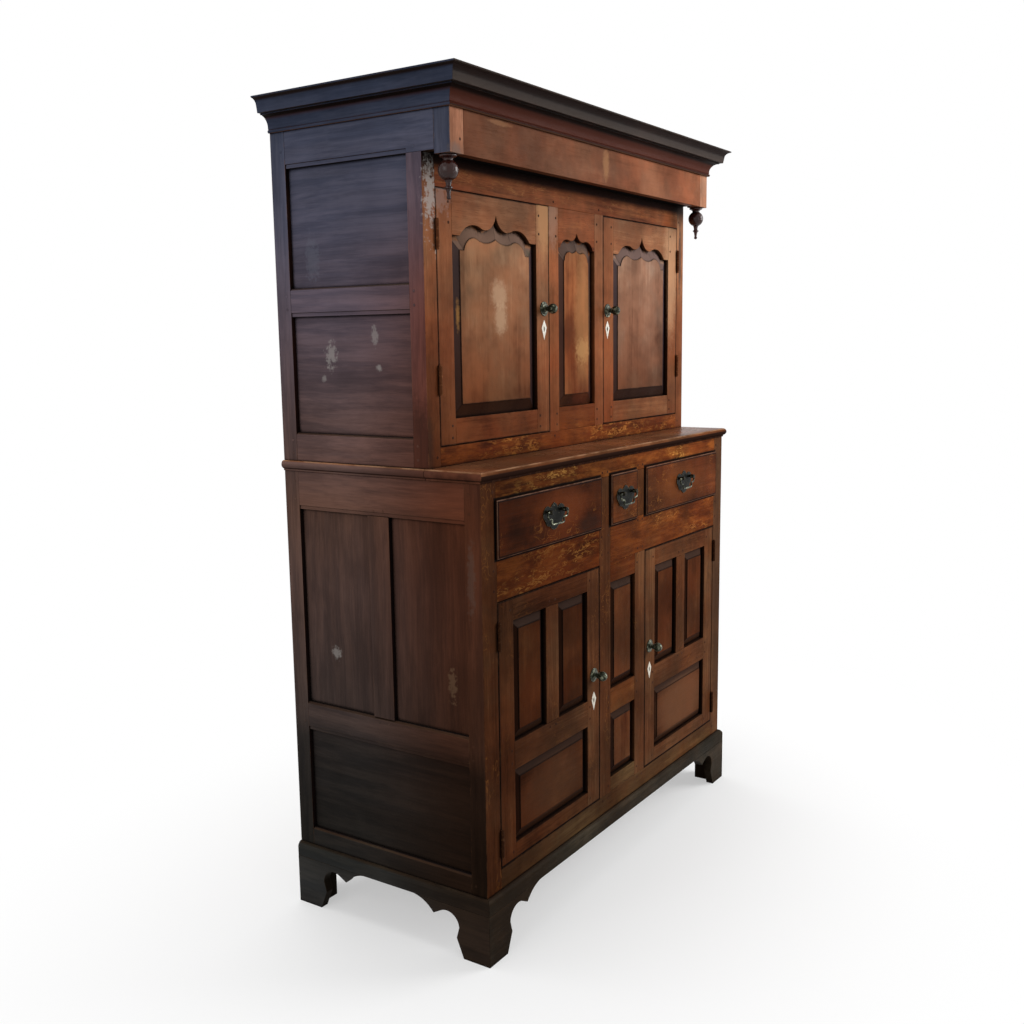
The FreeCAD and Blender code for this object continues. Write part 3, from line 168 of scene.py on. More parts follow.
def vector_of(operation, *values, out="Vector"):
    return joined("VectorMath", dict(enumerate(values)), operation=operation).outputs[out]


def scaled(vector, factor):
    return joined("VectorMath", {0: vector, "Scale": factor}, operation="SCALE").outputs["Vector"]


def parts_of(vector):
    return joined("SeparateXYZ", {0: vector}).outputs


def mixed(amount, first, second, blend="MIX"):
    """Two colours mixed: amount 0 gives the first."""
    return joined("Mix", {0: amount, 6: first, 7: second}, data_type="RGBA", blend_type=blend,
                  clamp_factor=True).outputs[2]


def tinted(colour, tint):
    return mixed(1.0, colour, tint, "MULTIPLY")


def between(value, low, high, out_low=0.0, out_high=1.0):
    """A smooth step from out_low to out_high while value goes from low to high."""
    inputs = {"Value": value, "From Min": low, "From Max": high, "To Min": out_low, "To Max": out_high}
    return joined("MapRange", inputs, interpolation_type="SMOOTHSTEP").outputs["Result"]


def noise(vector, scale=1.0, detail=2.0, roughness=0.5, colour=False, distortion=0.0):
    inputs = {"Vector": vector, "Scale": scale, "Detail": detail, "Roughness": roughness, "Distortion": distortion}
    return joined("TexNoise", inputs).outputs["Color" if colour else "Fac"]


def paint(red, green, blue):
    """A colour as it looks on a screen, 0 to 255, in Blender's linear values."""
    def linear(value):
        share = value / 255
        return share / 12.92 if share <= 0.04045 else ((share + 0.055) / 1.055) ** 2.4
    return linear(red), linear(green), linear(blue), 1.0


def tone_run(value, stops):
    """A run through several tones: each stop is a value and the colour that it has there."""
    low, high = stops[0][0], stops[-1][0]
    share = joined("MapRange", {"Value": value, "From Min": low, "From Max": high}).outputs["Result"]
    ramp = joined("ValToRGB", {"Fac": share})
    tones = ramp.color_ramp.elements
    while len(tones) < len(stops):
        tones.new(0.5)
    for tone, (where, colour) in zip(tones, stops):
        tone.position = (where - low) / (high - low)
        tone.color = colour
    return ramp.outputs["Color"]


def painted(rows):
    """Stops for tone_run from rows of a value and a tone as it looks on a screen."""
    return [(value, paint(*tone)) for value, *tone in rows]


def place_of(tree):
    """Where a point of the surface lies, in metres."""
    return add(tree, "TexCoord").outputs["Object"]


def openness(tree, reach):
    """1 where nothing stands within reach of the surface, less in its corners."""
    return add(tree, "AmbientOcclusion", {"Distance": reach}, samples=6).outputs["AO"]


def flatness(tree, radius):
    """1 on a flat face, less where an edge would be rounded by the radius."""
    flat = add(tree, "NewGeometry").outputs["Normal"]
    rounded = add(tree, "Bevel", {"Radius": radius}, samples=4).outputs["Normal"]
    return vector_of("DOT_PRODUCT", flat, rounded, out="Value")


def bumped(tree, height, strength, reach):
    return add(tree, "Bump", {"Height": height, "Strength": strength, "Distance": reach}).outputs["Normal"]


def direct_rays(tree):
    """1 for what the camera sees by itself, in a shine or through something, 0 for scattered light."""
    rays = add(tree, "LightPath").outputs
    return most(rays["Is Camera Ray"], rays["Is Glossy Ray"], rays["Is Transmission Ray"])


def new_material(name):
    """An empty material and its node tree."""
    material = bpy.data.materials.new(name)
    material.use_nodes = True
    material.node_tree.nodes.clear()
    return material, material.node_tree


def finish_material(tree, colour, roughness, normal, specular=0.5, metallic=0.0):
    inputs = {"Base Color": colour, "Roughness": roughness, "Normal": normal, "Specular IOR Level": specular,
              "Metallic": metallic}
    shader = add(tree, "BsdfPrincipled", inputs)
    add(tree, "OutputMaterial", {"Surface": shader.outputs["BSDF"]})


# %% [markdown]
# ## Old oak
# Oak shows broad bands along the grain, fine fibres, short dark pores and, on quarter-sawn boards, wavy pale flecks
# along the grain. An image could carry all that, but a pattern in space is the same on every face of a board, as in
# real wood. Each board brings two attributes: the direction of its grain, and a number that shifts the pattern so
# that no two boards match.

# %% Coordinates along and across the grain
BOARD_SHIFT = (31.7, 57.3, 43.9)
DRIFT = 0.022


def grain_space(tree):
    """Returns the place in space, the board's own number and a function that gives stretched coordinates."""
    place = place_of(tree)
    grain = add(tree, "Attribute", attribute_name="grain").outputs["Vector"]
    board = add(tree, "Attribute", attribute_name="board").outputs["Fac"]
    along = vector_of("DOT_PRODUCT", place, grain, out="Value")
    cross = vector_of("SUBTRACT", place, scaled(grain, along))
    drift = vector_of("SUBTRACT", noise(place, 2.4, 2, colour=True), (0.5, 0.5, 0.5))
    cross = vector_of("ADD", cross, scaled(drift, DRIFT))
    number = add(tree, "CombineXYZ", {0: board, 1: board, 2: board}).outputs[0]
    shift = vector_of("MULTIPLY", number, BOARD_SHIFT)

    def stretched(across, lengthwise):
        lined = scaled(grain, times(along, lengthwise))
        return vector_of("ADD", vector_of("ADD", scaled(cross, across), lined), shift)

    return place, board, stretched


# %% Marks in one place: traces of age, a painted sheen and a painted keyhole
def mark(place, rough, centre, size, ragged):
    """A soft spot round a place on the cupboard, 1 in its middle, with a ragged edge."""
    off = vector_of("DIVIDE", vector_of("SUBTRACT", place, centre), size)
    torn = times(minus(rough, 0.5), ragged * 2)
    return between(plus(vector_of("LENGTH", off, out="Value"), torn), 1.0, 0.35)


# %% [markdown]
# The ends of the cupboard carry painted light: their wax shows a painted slate-blue reflection under the cornice,
# turns plum brown half way down and nearly black by the floor, and it is browner near the front. One tone per board
# could say that too, but it would jump at every joint. A run of tones by height, used wherever a face looks outward
# at the ends, crosses posts, rails and panels alike.

# %% Tones of the two ends, with their painted reflection
END_TONES_AND_SHEEN = painted([
    (0.06, 62, 60, 58), (0.16, 44, 43, 40), (0.44, 54, 51, 49), (0.5, 80, 70, 66), (0.84, 104, 84, 77),
    (1.02, 109, 84, 73), (1.22, 112, 93, 91), (1.46, 108, 99, 110), (1.66, 93, 95, 113), (1.9, 80, 88, 108),
])
END_PLANE = 0.6245
END_BOARD = 0.632
FRONT_TINT = (0.74, 0.44, 0.3, 1.0)


def outward(place, normal):
    """1 where a face looks out at an end of the cupboard, and how far each face turns away from the middle."""
    across = parts_of(place)["X"]
    turned = times(normal["X"], sum_of("SIGN", across))
    beyond = between(unsigned(across), END_PLANE, END_PLANE + 0.001)
    return times(between(turned, 0.55, 0.85), beyond), turned


def end_reveal(place):
    """1 in the reveal round the end panels, between their face and the face of their frame."""
    axes = parts_of(place)
    front = between(axes["Z"], 1.1, 1.11, -0.262, -0.126)
    behind = between(minus(axes["Y"], front), 0.0, 0.004)
    beyond = between(unsigned(axes["X"]), END_BOARD, END_BOARD + 0.0015, 0, 0.9)
    return times(behind, beyond)


def end_colour_and_sheen(place, gain, front_gain):
    """An end's tone and painted reflection at each height, warmer near the front, times what the finish asks for."""
    axes = parts_of(place)
    colour = tone_run(axes["Z"], END_TONES_AND_SHEEN)
    near_front = times(between(axes["Y"], 0.16, -0.22), between(axes["Z"], 1.8, 1.45))
    colour = mixed(near_front, colour, tinted(colour, FRONT_TINT))
    gains = mixed(between(axes["Y"], 0.1, 0.0), gain + (1.0,), front_gain + (1.0,))
    return tinted(colour, gains)


# %% Figure, flecks and swirls
AMBER = paint(150, 80, 34)
GOLD = paint(194, 128, 62)
# The grime tone darkens pores and dirt, and it is also the painted shade in corners, gaps and creases.
GRIME_AND_SHADE = paint(13, 10, 9)
# The edge tone is painted shade on faces turned away from the front.
SIDE_FACE_SHADE = paint(40, 28, 23)
# The reveal tone is painted shade in the reveals round the end panels.
REVEAL_SHADE = paint(27, 22, 23)


def figure_of(place, board, stretched, fibres, grain):
    """How light the wood is at each point, from broad bands, growth rings, fibres and clouds."""
    bands = times(noise(stretched(19, 1.5), 1, 4, 0.6), 0.34)
    rings = times(noise(stretched(120, 3.0), 1, 3, 0.55), 0.22 * grain)
    clouds = times(noise(place, 6, 4, 0.6), 0.66 - 0.4 * grain)
    return plus(bands, rings, times(fibres, 0.18 * grain), clouds, times(minus(board, 0.5), 0.1))


def flecked(place, stretched, colour, amount):
    """Amber glow and gold flecks, full on the rails between the stages and faint under the frieze."""
    height = parts_of(place)["Z"]
    rails = times(between(height, 0.8, 0.84), between(height, 1.2, 1.17))
    amount = times(most(between(height, 1.734, 1.742, 0, 0.16), rails), amount)
    glow = between(noise(stretched(38, 9), 1, 4, 0.7), 0.42, 0.68, 0, 0.55)
    colour = mixed(times(glow, amount), colour, AMBER)
    wave = noise(stretched(98, 30), 1, 3, 0.6, distortion=0.7)
    ridge = between(unsigned(minus(wave, 0.5)), 0.06, 0.0)
    where = between(noise(stretched(9, 3.6), 1, 2), 0.42, 0.66, 0, 0.85)
    broken = between(noise(stretched(60, 22), 1, 2), 0.4, 0.6)
    return mixed(times(ridge, where, broken, amount), colour, GOLD)


def swirled(stretched, colour, amount):
    """Thin gold curls, a few to a board."""
    curl = noise(stretched(34, 20), 1, 2, 0.5, distortion=1.4)
    line = between(unsigned(minus(curl, 0.5)), 0.022, 0.004)
    where = between(noise(stretched(13, 8), 1, 2), 0.52, 0.66)
    return mixed(times(line, where, amount), colour, GOLD)


# %% One recipe for all the oak
def oak(name, deep, middle, light, fleck=0.0, swirl=0.0, wear=0.35, corner_dirt_and_shade=0.9, roughness=0.42, marks=(),
        end_gain=(1.0, 1.0, 1.0), front_gain=None, edges=0.75, shades=(), slopes=None, gloss=0.012, flat_gloss=None,
        grain=1.0, pored=0.3, end_frame=False):
    """Waxed oak: grain tones, flecks, pores, worn edges and local marks, with painted light, shade and reflection, and
    painted shade in corners mixed with dirt.
    """
    deep, middle, light = (paint(*tone) for tone in (deep, middle, light))
    material, tree = new_material(name)
    place, board, stretched = grain_space(tree)
    normal = parts_of(add(tree, "TexCoord").outputs["Normal"])
    fibres = noise(stretched(560, 16), 1, 2, 0.6)
    figure = figure_of(place, board, stretched, fibres, grain)
    low = mixed(between(figure, 0.34, 0.5), deep, middle)
    colour = mixed(between(figure, 0.5, 0.68), low, light)
    hue = mixed(board, (1.1, 0.96, 0.86, 1), (0.94, 0.99, 1.05, 1))
    patina = between(noise(place, 4.2, 4, 0.65), 0.34, 0.66, 0.7, 1.3)
    warmth = between(noise(place, 5.5, 3, 0.6), 0.36, 0.64)
    hue = tinted(hue, mixed(warmth, (1.08, 0.95, 0.86, 1), (0.94, 1.03, 1.06, 1)))
    colour = tinted(colour, scaled(hue, patina))
    if fleck:
        colour = flecked(place, stretched, colour, fleck)
    if swirl:
        colour = swirled(stretched, colour, swirl)
    pores = between(noise(stretched(950, 46), 1, 1), 0.6, 0.68)
    colour = mixed(times(pores, pored), colour, GRIME_AND_SHADE)
    if slopes:
        colour = slopes(normal, colour)
    for shade in shades:
        colour = shade(place, normal, colour)

    ends, turned = outward(place, normal)
    ends = times(ends, 1.0 if sum(end_gain) else 0.0)
    grey = between(figure, 0.34, 0.66, 0.74, 1.28)
    # The ends take their tone, with its painted slate-blue reflection, from the run of end tones.
    end_tone_and_sheen = scaled(end_colour_and_sheen(place, end_gain, front_gain or end_gain), grey)
    stain = between(noise(stretched(34, 3.2), 1, 4, 0.7), 0.36, 0.64)
    end_tone_and_sheen = tinted(end_tone_and_sheen, mixed(stain, (0.8, 0.78, 0.8, 1), (1.2, 1.1, 1.06, 1)))
    colour = mixed(ends, colour, end_tone_and_sheen)
    inner = minus(1, ends)
    # Faces turned sideways, away from the front, get painted shade; edges sets how much of it.
    if edges:
        side_shade_share = times(between(unsigned(normal["Y"]), 0.8, 0.45), edges, inner)
        if end_frame:
            side_shade_share = times(side_shade_share, between(turned, -0.8, -0.5))
        colour = mixed(side_shade_share, colour, SIDE_FACE_SHADE)
    # Painted shade in the reveals round the end panels.
    if end_frame:
        colour = mixed(times(end_reveal(place), inner), colour, REVEAL_SHADE)

    rough = noise(place, 95, 4, 0.7)
    for centre, size, tint, strength, ragged in marks:
        colour = mixed(times(mark(place, rough, centre, size, ragged), strength), colour, tint)
    flat = flatness(tree, 0.004)
    # Painted shade: a dark line in the creases where a panel's bevel meets its field and its frame.
    if slopes:
        colour = mixed(between(flat, 0.9997, 0.9985, 0, 0.62), colour, GRIME_AND_SHADE)
    patchy = between(noise(place, 30, 3, 0.65), 0.44, 0.64)
    colour = mixed(times(between(flat, 0.995, 0.9), patchy, wear), colour, light)
    # Ambient occlusion darkens corners and recesses: painted shade, mixed with the dirt that gathers there.
    dirt_and_shade = most(between(openness(tree, 0.009), 0.84, 0.48, 0, corner_dirt_and_shade),
                between(openness(tree, 0.06), 0.66, 0.15, 0, corner_dirt_and_shade))
    colour = mixed(dirt_and_shade, colour, GRIME_AND_SHADE)

    relief = plus(minus(times(fibres, 0.35), times(pores, 0.5)), times(noise(place, 14, 2), 1.6))
    dull = plus(between(figure, 0.35, 0.65, roughness + 0.08, roughness - 0.05), times(dirt_and_shade, 0.3))
    shine = gloss if flat_gloss is None else between(normal["Z"], 0.97, 0.999, gloss, flat_gloss)
    finish_material(tree, colour, dull, bumped(tree, relief, 0.35, 0.0012), shine)
    return material


# %% [markdown]
# The front was once waxed warm brown, and the lower stage is redder and darker. Painted light makes the upper stage
# lighter and greyer towards its top and each front lighter towards its right, a painted shadow blackens the rails just
# under the frieze, and painted light and shade tint the bevels round each raised panel by the way they slope. Each of
# those is a small function that the recipe calls.

# %% Painted light by height and across the front, and on the bevels
BEVEL_SHADE_SHARE = 0.88


def bevel_shade(left, right, top, bottom):
    """Paints light and shade on the sloping border of a raised panel by the way it slopes: lighter facing up, darker
    facing right and down.
    """
    left, right, top, bottom = (paint(*tone) for tone in (left, right, top, bottom))

    def slopes(normal, colour):
        sloping = between(unsigned(normal["Y"]), 0.9975, 0.99)
        tone = mixed(between(normal["X"], -0.06, 0.06), left, right)
        tone = mixed(between(normal["Z"], 0.05, 0.12), tone, top)
        tone = mixed(between(normal["Z"], -0.05, -0.12), tone, bottom)
        return mixed(times(sloping, BEVEL_SHADE_SHARE), colour, tone)
    return slopes


# Each row gives a height and the red, green and blue that the wood is multiplied by there.
# The upper stage's rows are painted light, lighter and greyer towards the top, ending in a painted shadow, nearly
# black, just under the frieze.
UPPER_HEIGHT_LIGHT = [
    (1.1, 0.62, 0.5, 0.38), (1.2, 0.78, 0.64, 0.52), (1.42, 1.00, 0.92, 0.82), (1.62, 1.24, 1.36, 1.38),
    (1.735, 1.14, 1.26, 1.34), (1.775, 0.1, 0.09, 0.09), (1.8, 0.03, 0.03, 0.03),
]
# The panels, and the upper part of the centre panels, are painted lighter towards the top in the same way.
PANEL_HEIGHT_LIGHT = [(1.18, 0.52, 0.4, 0.3), (1.28, 0.68, 0.56, 0.46), (1.44, 1.04, 1.06, 1.06), (1.64, 1.36, 1.56, 1.66)]
CENTRE_HEIGHT_TONES_AND_LIGHT = [(0.2, 0.44, 0.4, 0.36), (0.62, 0.34, 0.25, 0.17), (1.09, 0.31, 0.21, 0.12)] + UPPER_HEIGHT_LIGHT
# The rail rows are painted light up to the top, then a painted shadow under the frieze.
RAIL_HEIGHT_LIGHT = [
    (1.1, 1.2, 1.1, 0.9), (1.4, 1.5, 1.6, 1.8), (1.73, 2.4, 2.9, 3.9), (1.762, 2.9, 3.7, 5.2),
    (1.776, 0.16, 0.14, 0.14), (1.8, 0.03, 0.03, 0.03),
]
LOWER_FADE = [
    (0.12, 0.82, 1.42, 2.1), (0.25, 0.82, 1.42, 2.1), (0.42, 1.28, 1.8, 2.1), (0.5, 1.28, 1.8, 2.1),
    (0.82, 1.0, 1.0, 1.0), (1.03, 1.0, 1.0, 1.0), (1.05, 1.5, 1.8, 1.75),
]


def height_tint_and_light(rows):
    """Multiplies the wood by a run of tints by height: warm at the foot, paler above as painted light, and a painted
    shadow under the frieze.
    """
    stops = [(height, tuple(tint) + (1.0,)) for height, *tint in rows]

    def shade(place, normal, colour):
        return tinted(colour, tone_run(parts_of(place)["Z"], stops))
    return shade


def lit_across(left, right):
    """Painted light: multiplies the wood by one tint at the cupboard's left and a lighter one at its right, as if lit
    from the right.
    """
    def shade(place, normal, colour):
        across = between(parts_of(place)["X"], -0.64, 0.64)
        return tinted(colour, mixed(across, left + (1.0,), right + (1.0,)))
    return shade


# Painted light and shade on the bevels: the upward slopes lighter, the right and downward slopes darker.
upper_bevel_shade = bevel_shade((62, 46, 44), (40, 34, 40), (110, 78, 62), (46, 27, 20))
centre_bevel_shade = bevel_shade((62, 46, 44), (40, 34, 40), (84, 68, 62), (46, 27, 20))
lower_bevel_shade = bevel_shade((40, 24, 18), (22, 17, 18), (56, 42, 36), (46, 30, 22))
# Painted light: each front is lighter towards the cupboard's right.
upper_lit_across = lit_across((0.88, 0.88, 0.88), (1.24, 1.34, 1.42))
panel_lit_across = lit_across((0.96, 1.06, 1.14), (0.92, 1.06, 1.42))
rail_lit_across = lit_across((0.66, 0.72, 0.8), (1.24, 1.16, 1.1))
lower_lit_across = lit_across((0.88, 0.84, 0.8), (1.36, 1.26, 1.14))
frieze_lit_across = lit_across((0.62, 0.62, 0.6), (1.2, 1.16, 1.1))

# %% [markdown]
# Painted shade darkens the front on both sides of the gap round each door and drawer, and a pale painted highlight
# runs along a drawer's raised lip. The gap is found from the boxes of the doors and drawers themselves: the distance
# from a point on the front to the nearest edge of such a box is 0 in the gap and grows on both sides of it.

# %% Painted shade in the gaps and painted highlights on the lips
DOORS = ("upper_door_left", "upper_door_right", "lower_door_left", "lower_door_right")
DRAWERS = ("drawer_left", "drawer_middle", "drawer_right")
DOOR_FRAMES = [door + "_frame" for door in DOORS]
DRAWER_FRONTS = [drawer + "_front" for drawer in DRAWERS]
# The lip tones: a painted shade line inside each drawer's edge, and a pale painted highlight along it.
LIP_SHADE_LINE = [(-0.0072, (0, 0, 0, 1)), (-0.0056, (1, 1, 1, 1)), (-0.0034, (1, 1, 1, 1)), (-0.0024, (0, 0, 0, 1))]
LIP_HIGHLIGHT = paint(150, 116, 96)


def outside(place, nodes):
    """How far a point of the front lies outside the nearest of the nodes: below 0 inside it."""
    axes = parts_of(place)
    away = []
    for node in nodes:
        low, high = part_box(node)
        beyond = [minus(unsigned(minus(axes[name], (low[i] + high[i]) / 2)), (high[i] - low[i]) / 2)
                  for i, name in ((0, "X"), (2, "Z"))]
        away.append(most(*beyond))
    return least(*away)


def gap_shade(nodes, reach, strength):
    """Painted shade on the front, on both sides of the edges of the nodes, where the gap lies in shadow."""
    def shade(place, normal, colour):
        away = unsigned(outside(place, nodes))
        dirt_and_shade = times(between(away, reach, reach * 0.45, 0, strength), between(normal["Y"], -0.6, -0.9))
        return mixed(dirt_and_shade, colour, GRIME_AND_SHADE)
    return shade


def drawer_lips(place, normal, colour):
    """A pale painted highlight along the edge of each drawer's lip, with a painted shade line inside it."""
    away = outside(place, DRAWER_FRONTS)
    colour = mixed(times(tone_run(away, LIP_SHADE_LINE), 0.8), colour, GRIME_AND_SHADE)
    patchy = between(noise(place, 26, 3, 0.6), 0.34, 0.56, 0.2, 0.75)
    lip_highlight_share = times(between(away, -0.0027, -0.002), between(normal["Y"], -0.35, -0.75))
    return mixed(times(lip_highlight_share, patchy), colour, LIP_HIGHLIGHT)


# Painted shade in the gaps round the doors and drawers.
upper_gap_shade = gap_shade(DOOR_FRAMES[:2], 0.0034, 0.9)
lower_gap_shade = gap_shade(DOOR_FRAMES[2:], 0.0042, 0.95)
drawer_gap_shade = gap_shade(DRAWER_FRONTS, 0.0066, 0.95)

# %% Tones of the cornice, the ledge, the roof and the back, with painted light and shade
CORNICE_LOW = 1.876
CORNICE_HEIGHT = 0.074
# The darkest bands in the cornice tones are painted shade under the lip.
CORNICE_TONES_AND_SHADE = painted([
    (0.0, 124, 86, 64), (0.03, 40, 22, 18), (0.09, 92, 42, 28), (0.4, 82, 44, 34), (0.46, 20, 14, 12),
    (0.53, 30, 24, 22), (0.56, 78, 68, 62), (0.74, 66, 58, 54), (0.79, 34, 27, 25), (0.93, 42, 32, 30),
    (0.98, 74, 66, 60), (1.0, 50, 42, 38),
])
NAIL_PITCH = 0.0812
NAIL_ROWS = (0.15, 0.6, 1.07, 1.15, 1.5, 1.88)


def cornice_bands_and_shade(place, normal, colour):
    """Bands of tone on the cornice mouldings: a red hollow and a grey fascia, with painted shade, nearly black, under
    the lip.
    """
    share = sum_of("DIVIDE", minus(parts_of(place)["Z"], CORNICE_LOW), CORNICE_HEIGHT)
    return mixed(0.85, colour, tone_run(share, CORNICE_TONES_AND_SHADE))


def ledge_light_and_shade(place, normal, colour):
    """The ledge is brown on top, where jugs have stood, with painted shade on its nosing and a pale painted highlight
    along its rim.
    """
    colour = mixed(between(normal["Z"], 0.05, 0.4), paint(50, 32, 26), colour)
    patchy = between(noise(place, 17, 3, 0.6), 0.38, 0.6, 0.2, 0.9)
    rim = times(between(normal["Z"], 0.6, 0.8), between(normal["Z"], 0.999, 0.96), patchy)
    return mixed(rim, colour, paint(176, 134, 102))


def soffit_shadow(place, normal, colour):
    """Painted shadow: the boards over the ledge are kept nearly black from below."""
    return mixed(between(normal["Z"], -0.3, -0.8), colour, paint(12, 9, 8))


def nail_heads(place, normal, colour):
    """Rows of iron nails with rust round them, where the back boards cross the rails."""
    axes = parts_of(place)
    across = minus(sum_of("FRACT", sum_of("DIVIDE", axes["X"], NAIL_PITCH)), 0.5)
    up = least(*(unsigned(minus(axes["Z"], height)) for height in NAIL_ROWS))
    far = distance(times(across, NAIL_PITCH), up)
    rusted = mixed(between(far, 0.014, 0.003, 0, 0.6), colour, paint(74, 42, 26))
    return mixed(between(far, 0.004, 0.0034), rusted, paint(34, 30, 28))


# %% Wear, and one painted sheen, in their own places
CHALK = (200, 194, 188)
WARM = (196, 140, 78)
RUBBED = (208, 168, 134)


def on_front(face, depth, *rows):
    """Marks on a front. A row gives x, z, half width, half height, tone, strength and how ragged the mark is."""
    return [((x, face, z), (width, depth, height), paint(*tone), strength, ragged)
            for x, z, width, height, tone, strength, ragged in rows]


def on_end(face, depth, *rows):
    """Marks on an end, whose rows begin with y instead of x."""
    return [((face, y, z), (depth, width, height), paint(*tone), strength, ragged)
            for y, z, width, height, tone, strength, ragged in rows]


upper_frame_marks = on_front(
    -0.132, 0.009,
    (-0.163, 1.7, 0.044, 0.13, (216, 160, 110), 0.62, 0.3), (-0.58, 1.715, 0.036, 0.05, (176, 150, 140), 0.34, 1.6),
    (-0.519, 1.455, 0.006, 0.05, WARM, 0.5, 0.6), (0.556, 1.6, 0.06, 0.26, (214, 166, 126), 0.56, 0.4))
upper_post_marks = on_front(
    -0.132, 0.01,
    (0.622, 1.64, 0.012, 0.15, (58, 54, 52), 0.72, 0.5), (-0.618, 1.712, 0.026, 0.095, CHALK, 0.6, 1.9),
    (-0.602, 1.626, 0.0034, 0.05, CHALK, 0.75, 0.9))
upper_post_marks += on_front(-0.132, 0.02, (-0.12, 1.7, 0.034, 0.1, (186, 150, 128), 0.42, 0.5))
upper_post_marks += on_end(-0.645, 0.03, (-0.1, 1.16, 0.1, 0.16, (46, 33, 28), 0.62, 0.3))
lower_post_marks = on_end(
    -0.645, 0.006,
    (-0.24, 0.89, 0.014, 0.11, (104, 84, 74), 0.4, 1.0), (-0.174, 0.604, 0.008, 0.07, (104, 82, 64), 0.4, 1.0),
    (-0.213, 0.697, 0.01, 0.03, (112, 88, 66), 0.4, 1.0))
lower_post_marks += on_front(-0.268, 0.01, (0.617, 0.64, 0.045, 0.64, (68, 44, 29), 0.72, 0.2))
upper_panel_marks = on_front(
    -0.13, 0.009,
    (-0.3585, 1.505, 0.044, 0.046, RUBBED, 0.7, 0.5), (-0.353, 1.452, 0.035, 0.052, RUBBED, 0.7, 0.5),
    (-0.2241, 1.6114, 0.022, 0.018, (70, 84, 64), 0.55, 0.4), (-0.52, 1.457, 0.008, 0.05, WARM, 0.7, 0.7))
# The first of the lower panel marks is a painted sheen: a pale patch of reflected light on the right-hand panel.
lower_panel_sheen_and_marks = on_front(
    -0.266, 0.009,
    (0.37, 0.33, 0.24, 0.13, (140, 98, 70), 0.42, 0.12), (-0.35, 0.33, 0.2, 0.11, (100, 68, 48), 0.36, 0.12))
drawer_marks = on_front(
    -0.275, 0.009,
    (-0.32, 1.0, 0.16, 0.07, (132, 66, 34), 0.44, 0.15), (0.34, 0.99, 0.19, 0.075, (142, 78, 38), 0.4, 0.15),
    (-0.19, 0.95, 0.08, 0.03, (40, 26, 20), 0.6, 0.3))
centre_panel_marks = on_front(
    -0.13, 0.02,
    (0.034, 1.45, 0.06, 0.24, (196, 140, 90), 0.5, 0.3), (0.034, 1.372, 0.05, 0.042, (214, 162, 104), 0.5, 0.8),
    (0.03, 1.25, 0.06, 0.07, (96, 44, 26), 0.55, 0.5))
frieze_marks = on_front(
    -0.208, 0.02,
    (0.0179, 1.8365, 0.022, 0.05, (196, 142, 96), 0.5, 0.5), (-0.46, 1.868, 0.06, 0.008, (190, 136, 96), 0.4, 0.5))
block_marks = on_front(
    -0.208, 0.02,
    (-0.6099, 1.8146, 0.005, 0.005, (16, 12, 11), 0.9, 0.2), (-0.625, 1.79, 0.03, 0.022, (128, 112, 104), 0.6, 0.5))
end_marks = on_end(
    -0.633, 0.005,
    (0.152, 1.37, 0.02, 0.036, CHALK, 0.4, 1.5), (0.0205, 1.4136, 0.012, 0.026, CHALK, 0.34, 1.5),
    (0.0118, 1.3429, 0.012, 0.01, CHALK, 0.42, 0.9), (0.178, 1.318, 0.01, 0.01, CHALK, 0.32, 0.9),
    (0.2, 1.59, 0.03, 0.06, (120, 124, 138), 0.3, 1.2), (0.1714, 0.6628, 0.018, 0.018, CHALK, 0.4, 1.3),
    (-0.175, 0.64, 0.014, 0.046, (140, 110, 84), 0.34, 1.6))

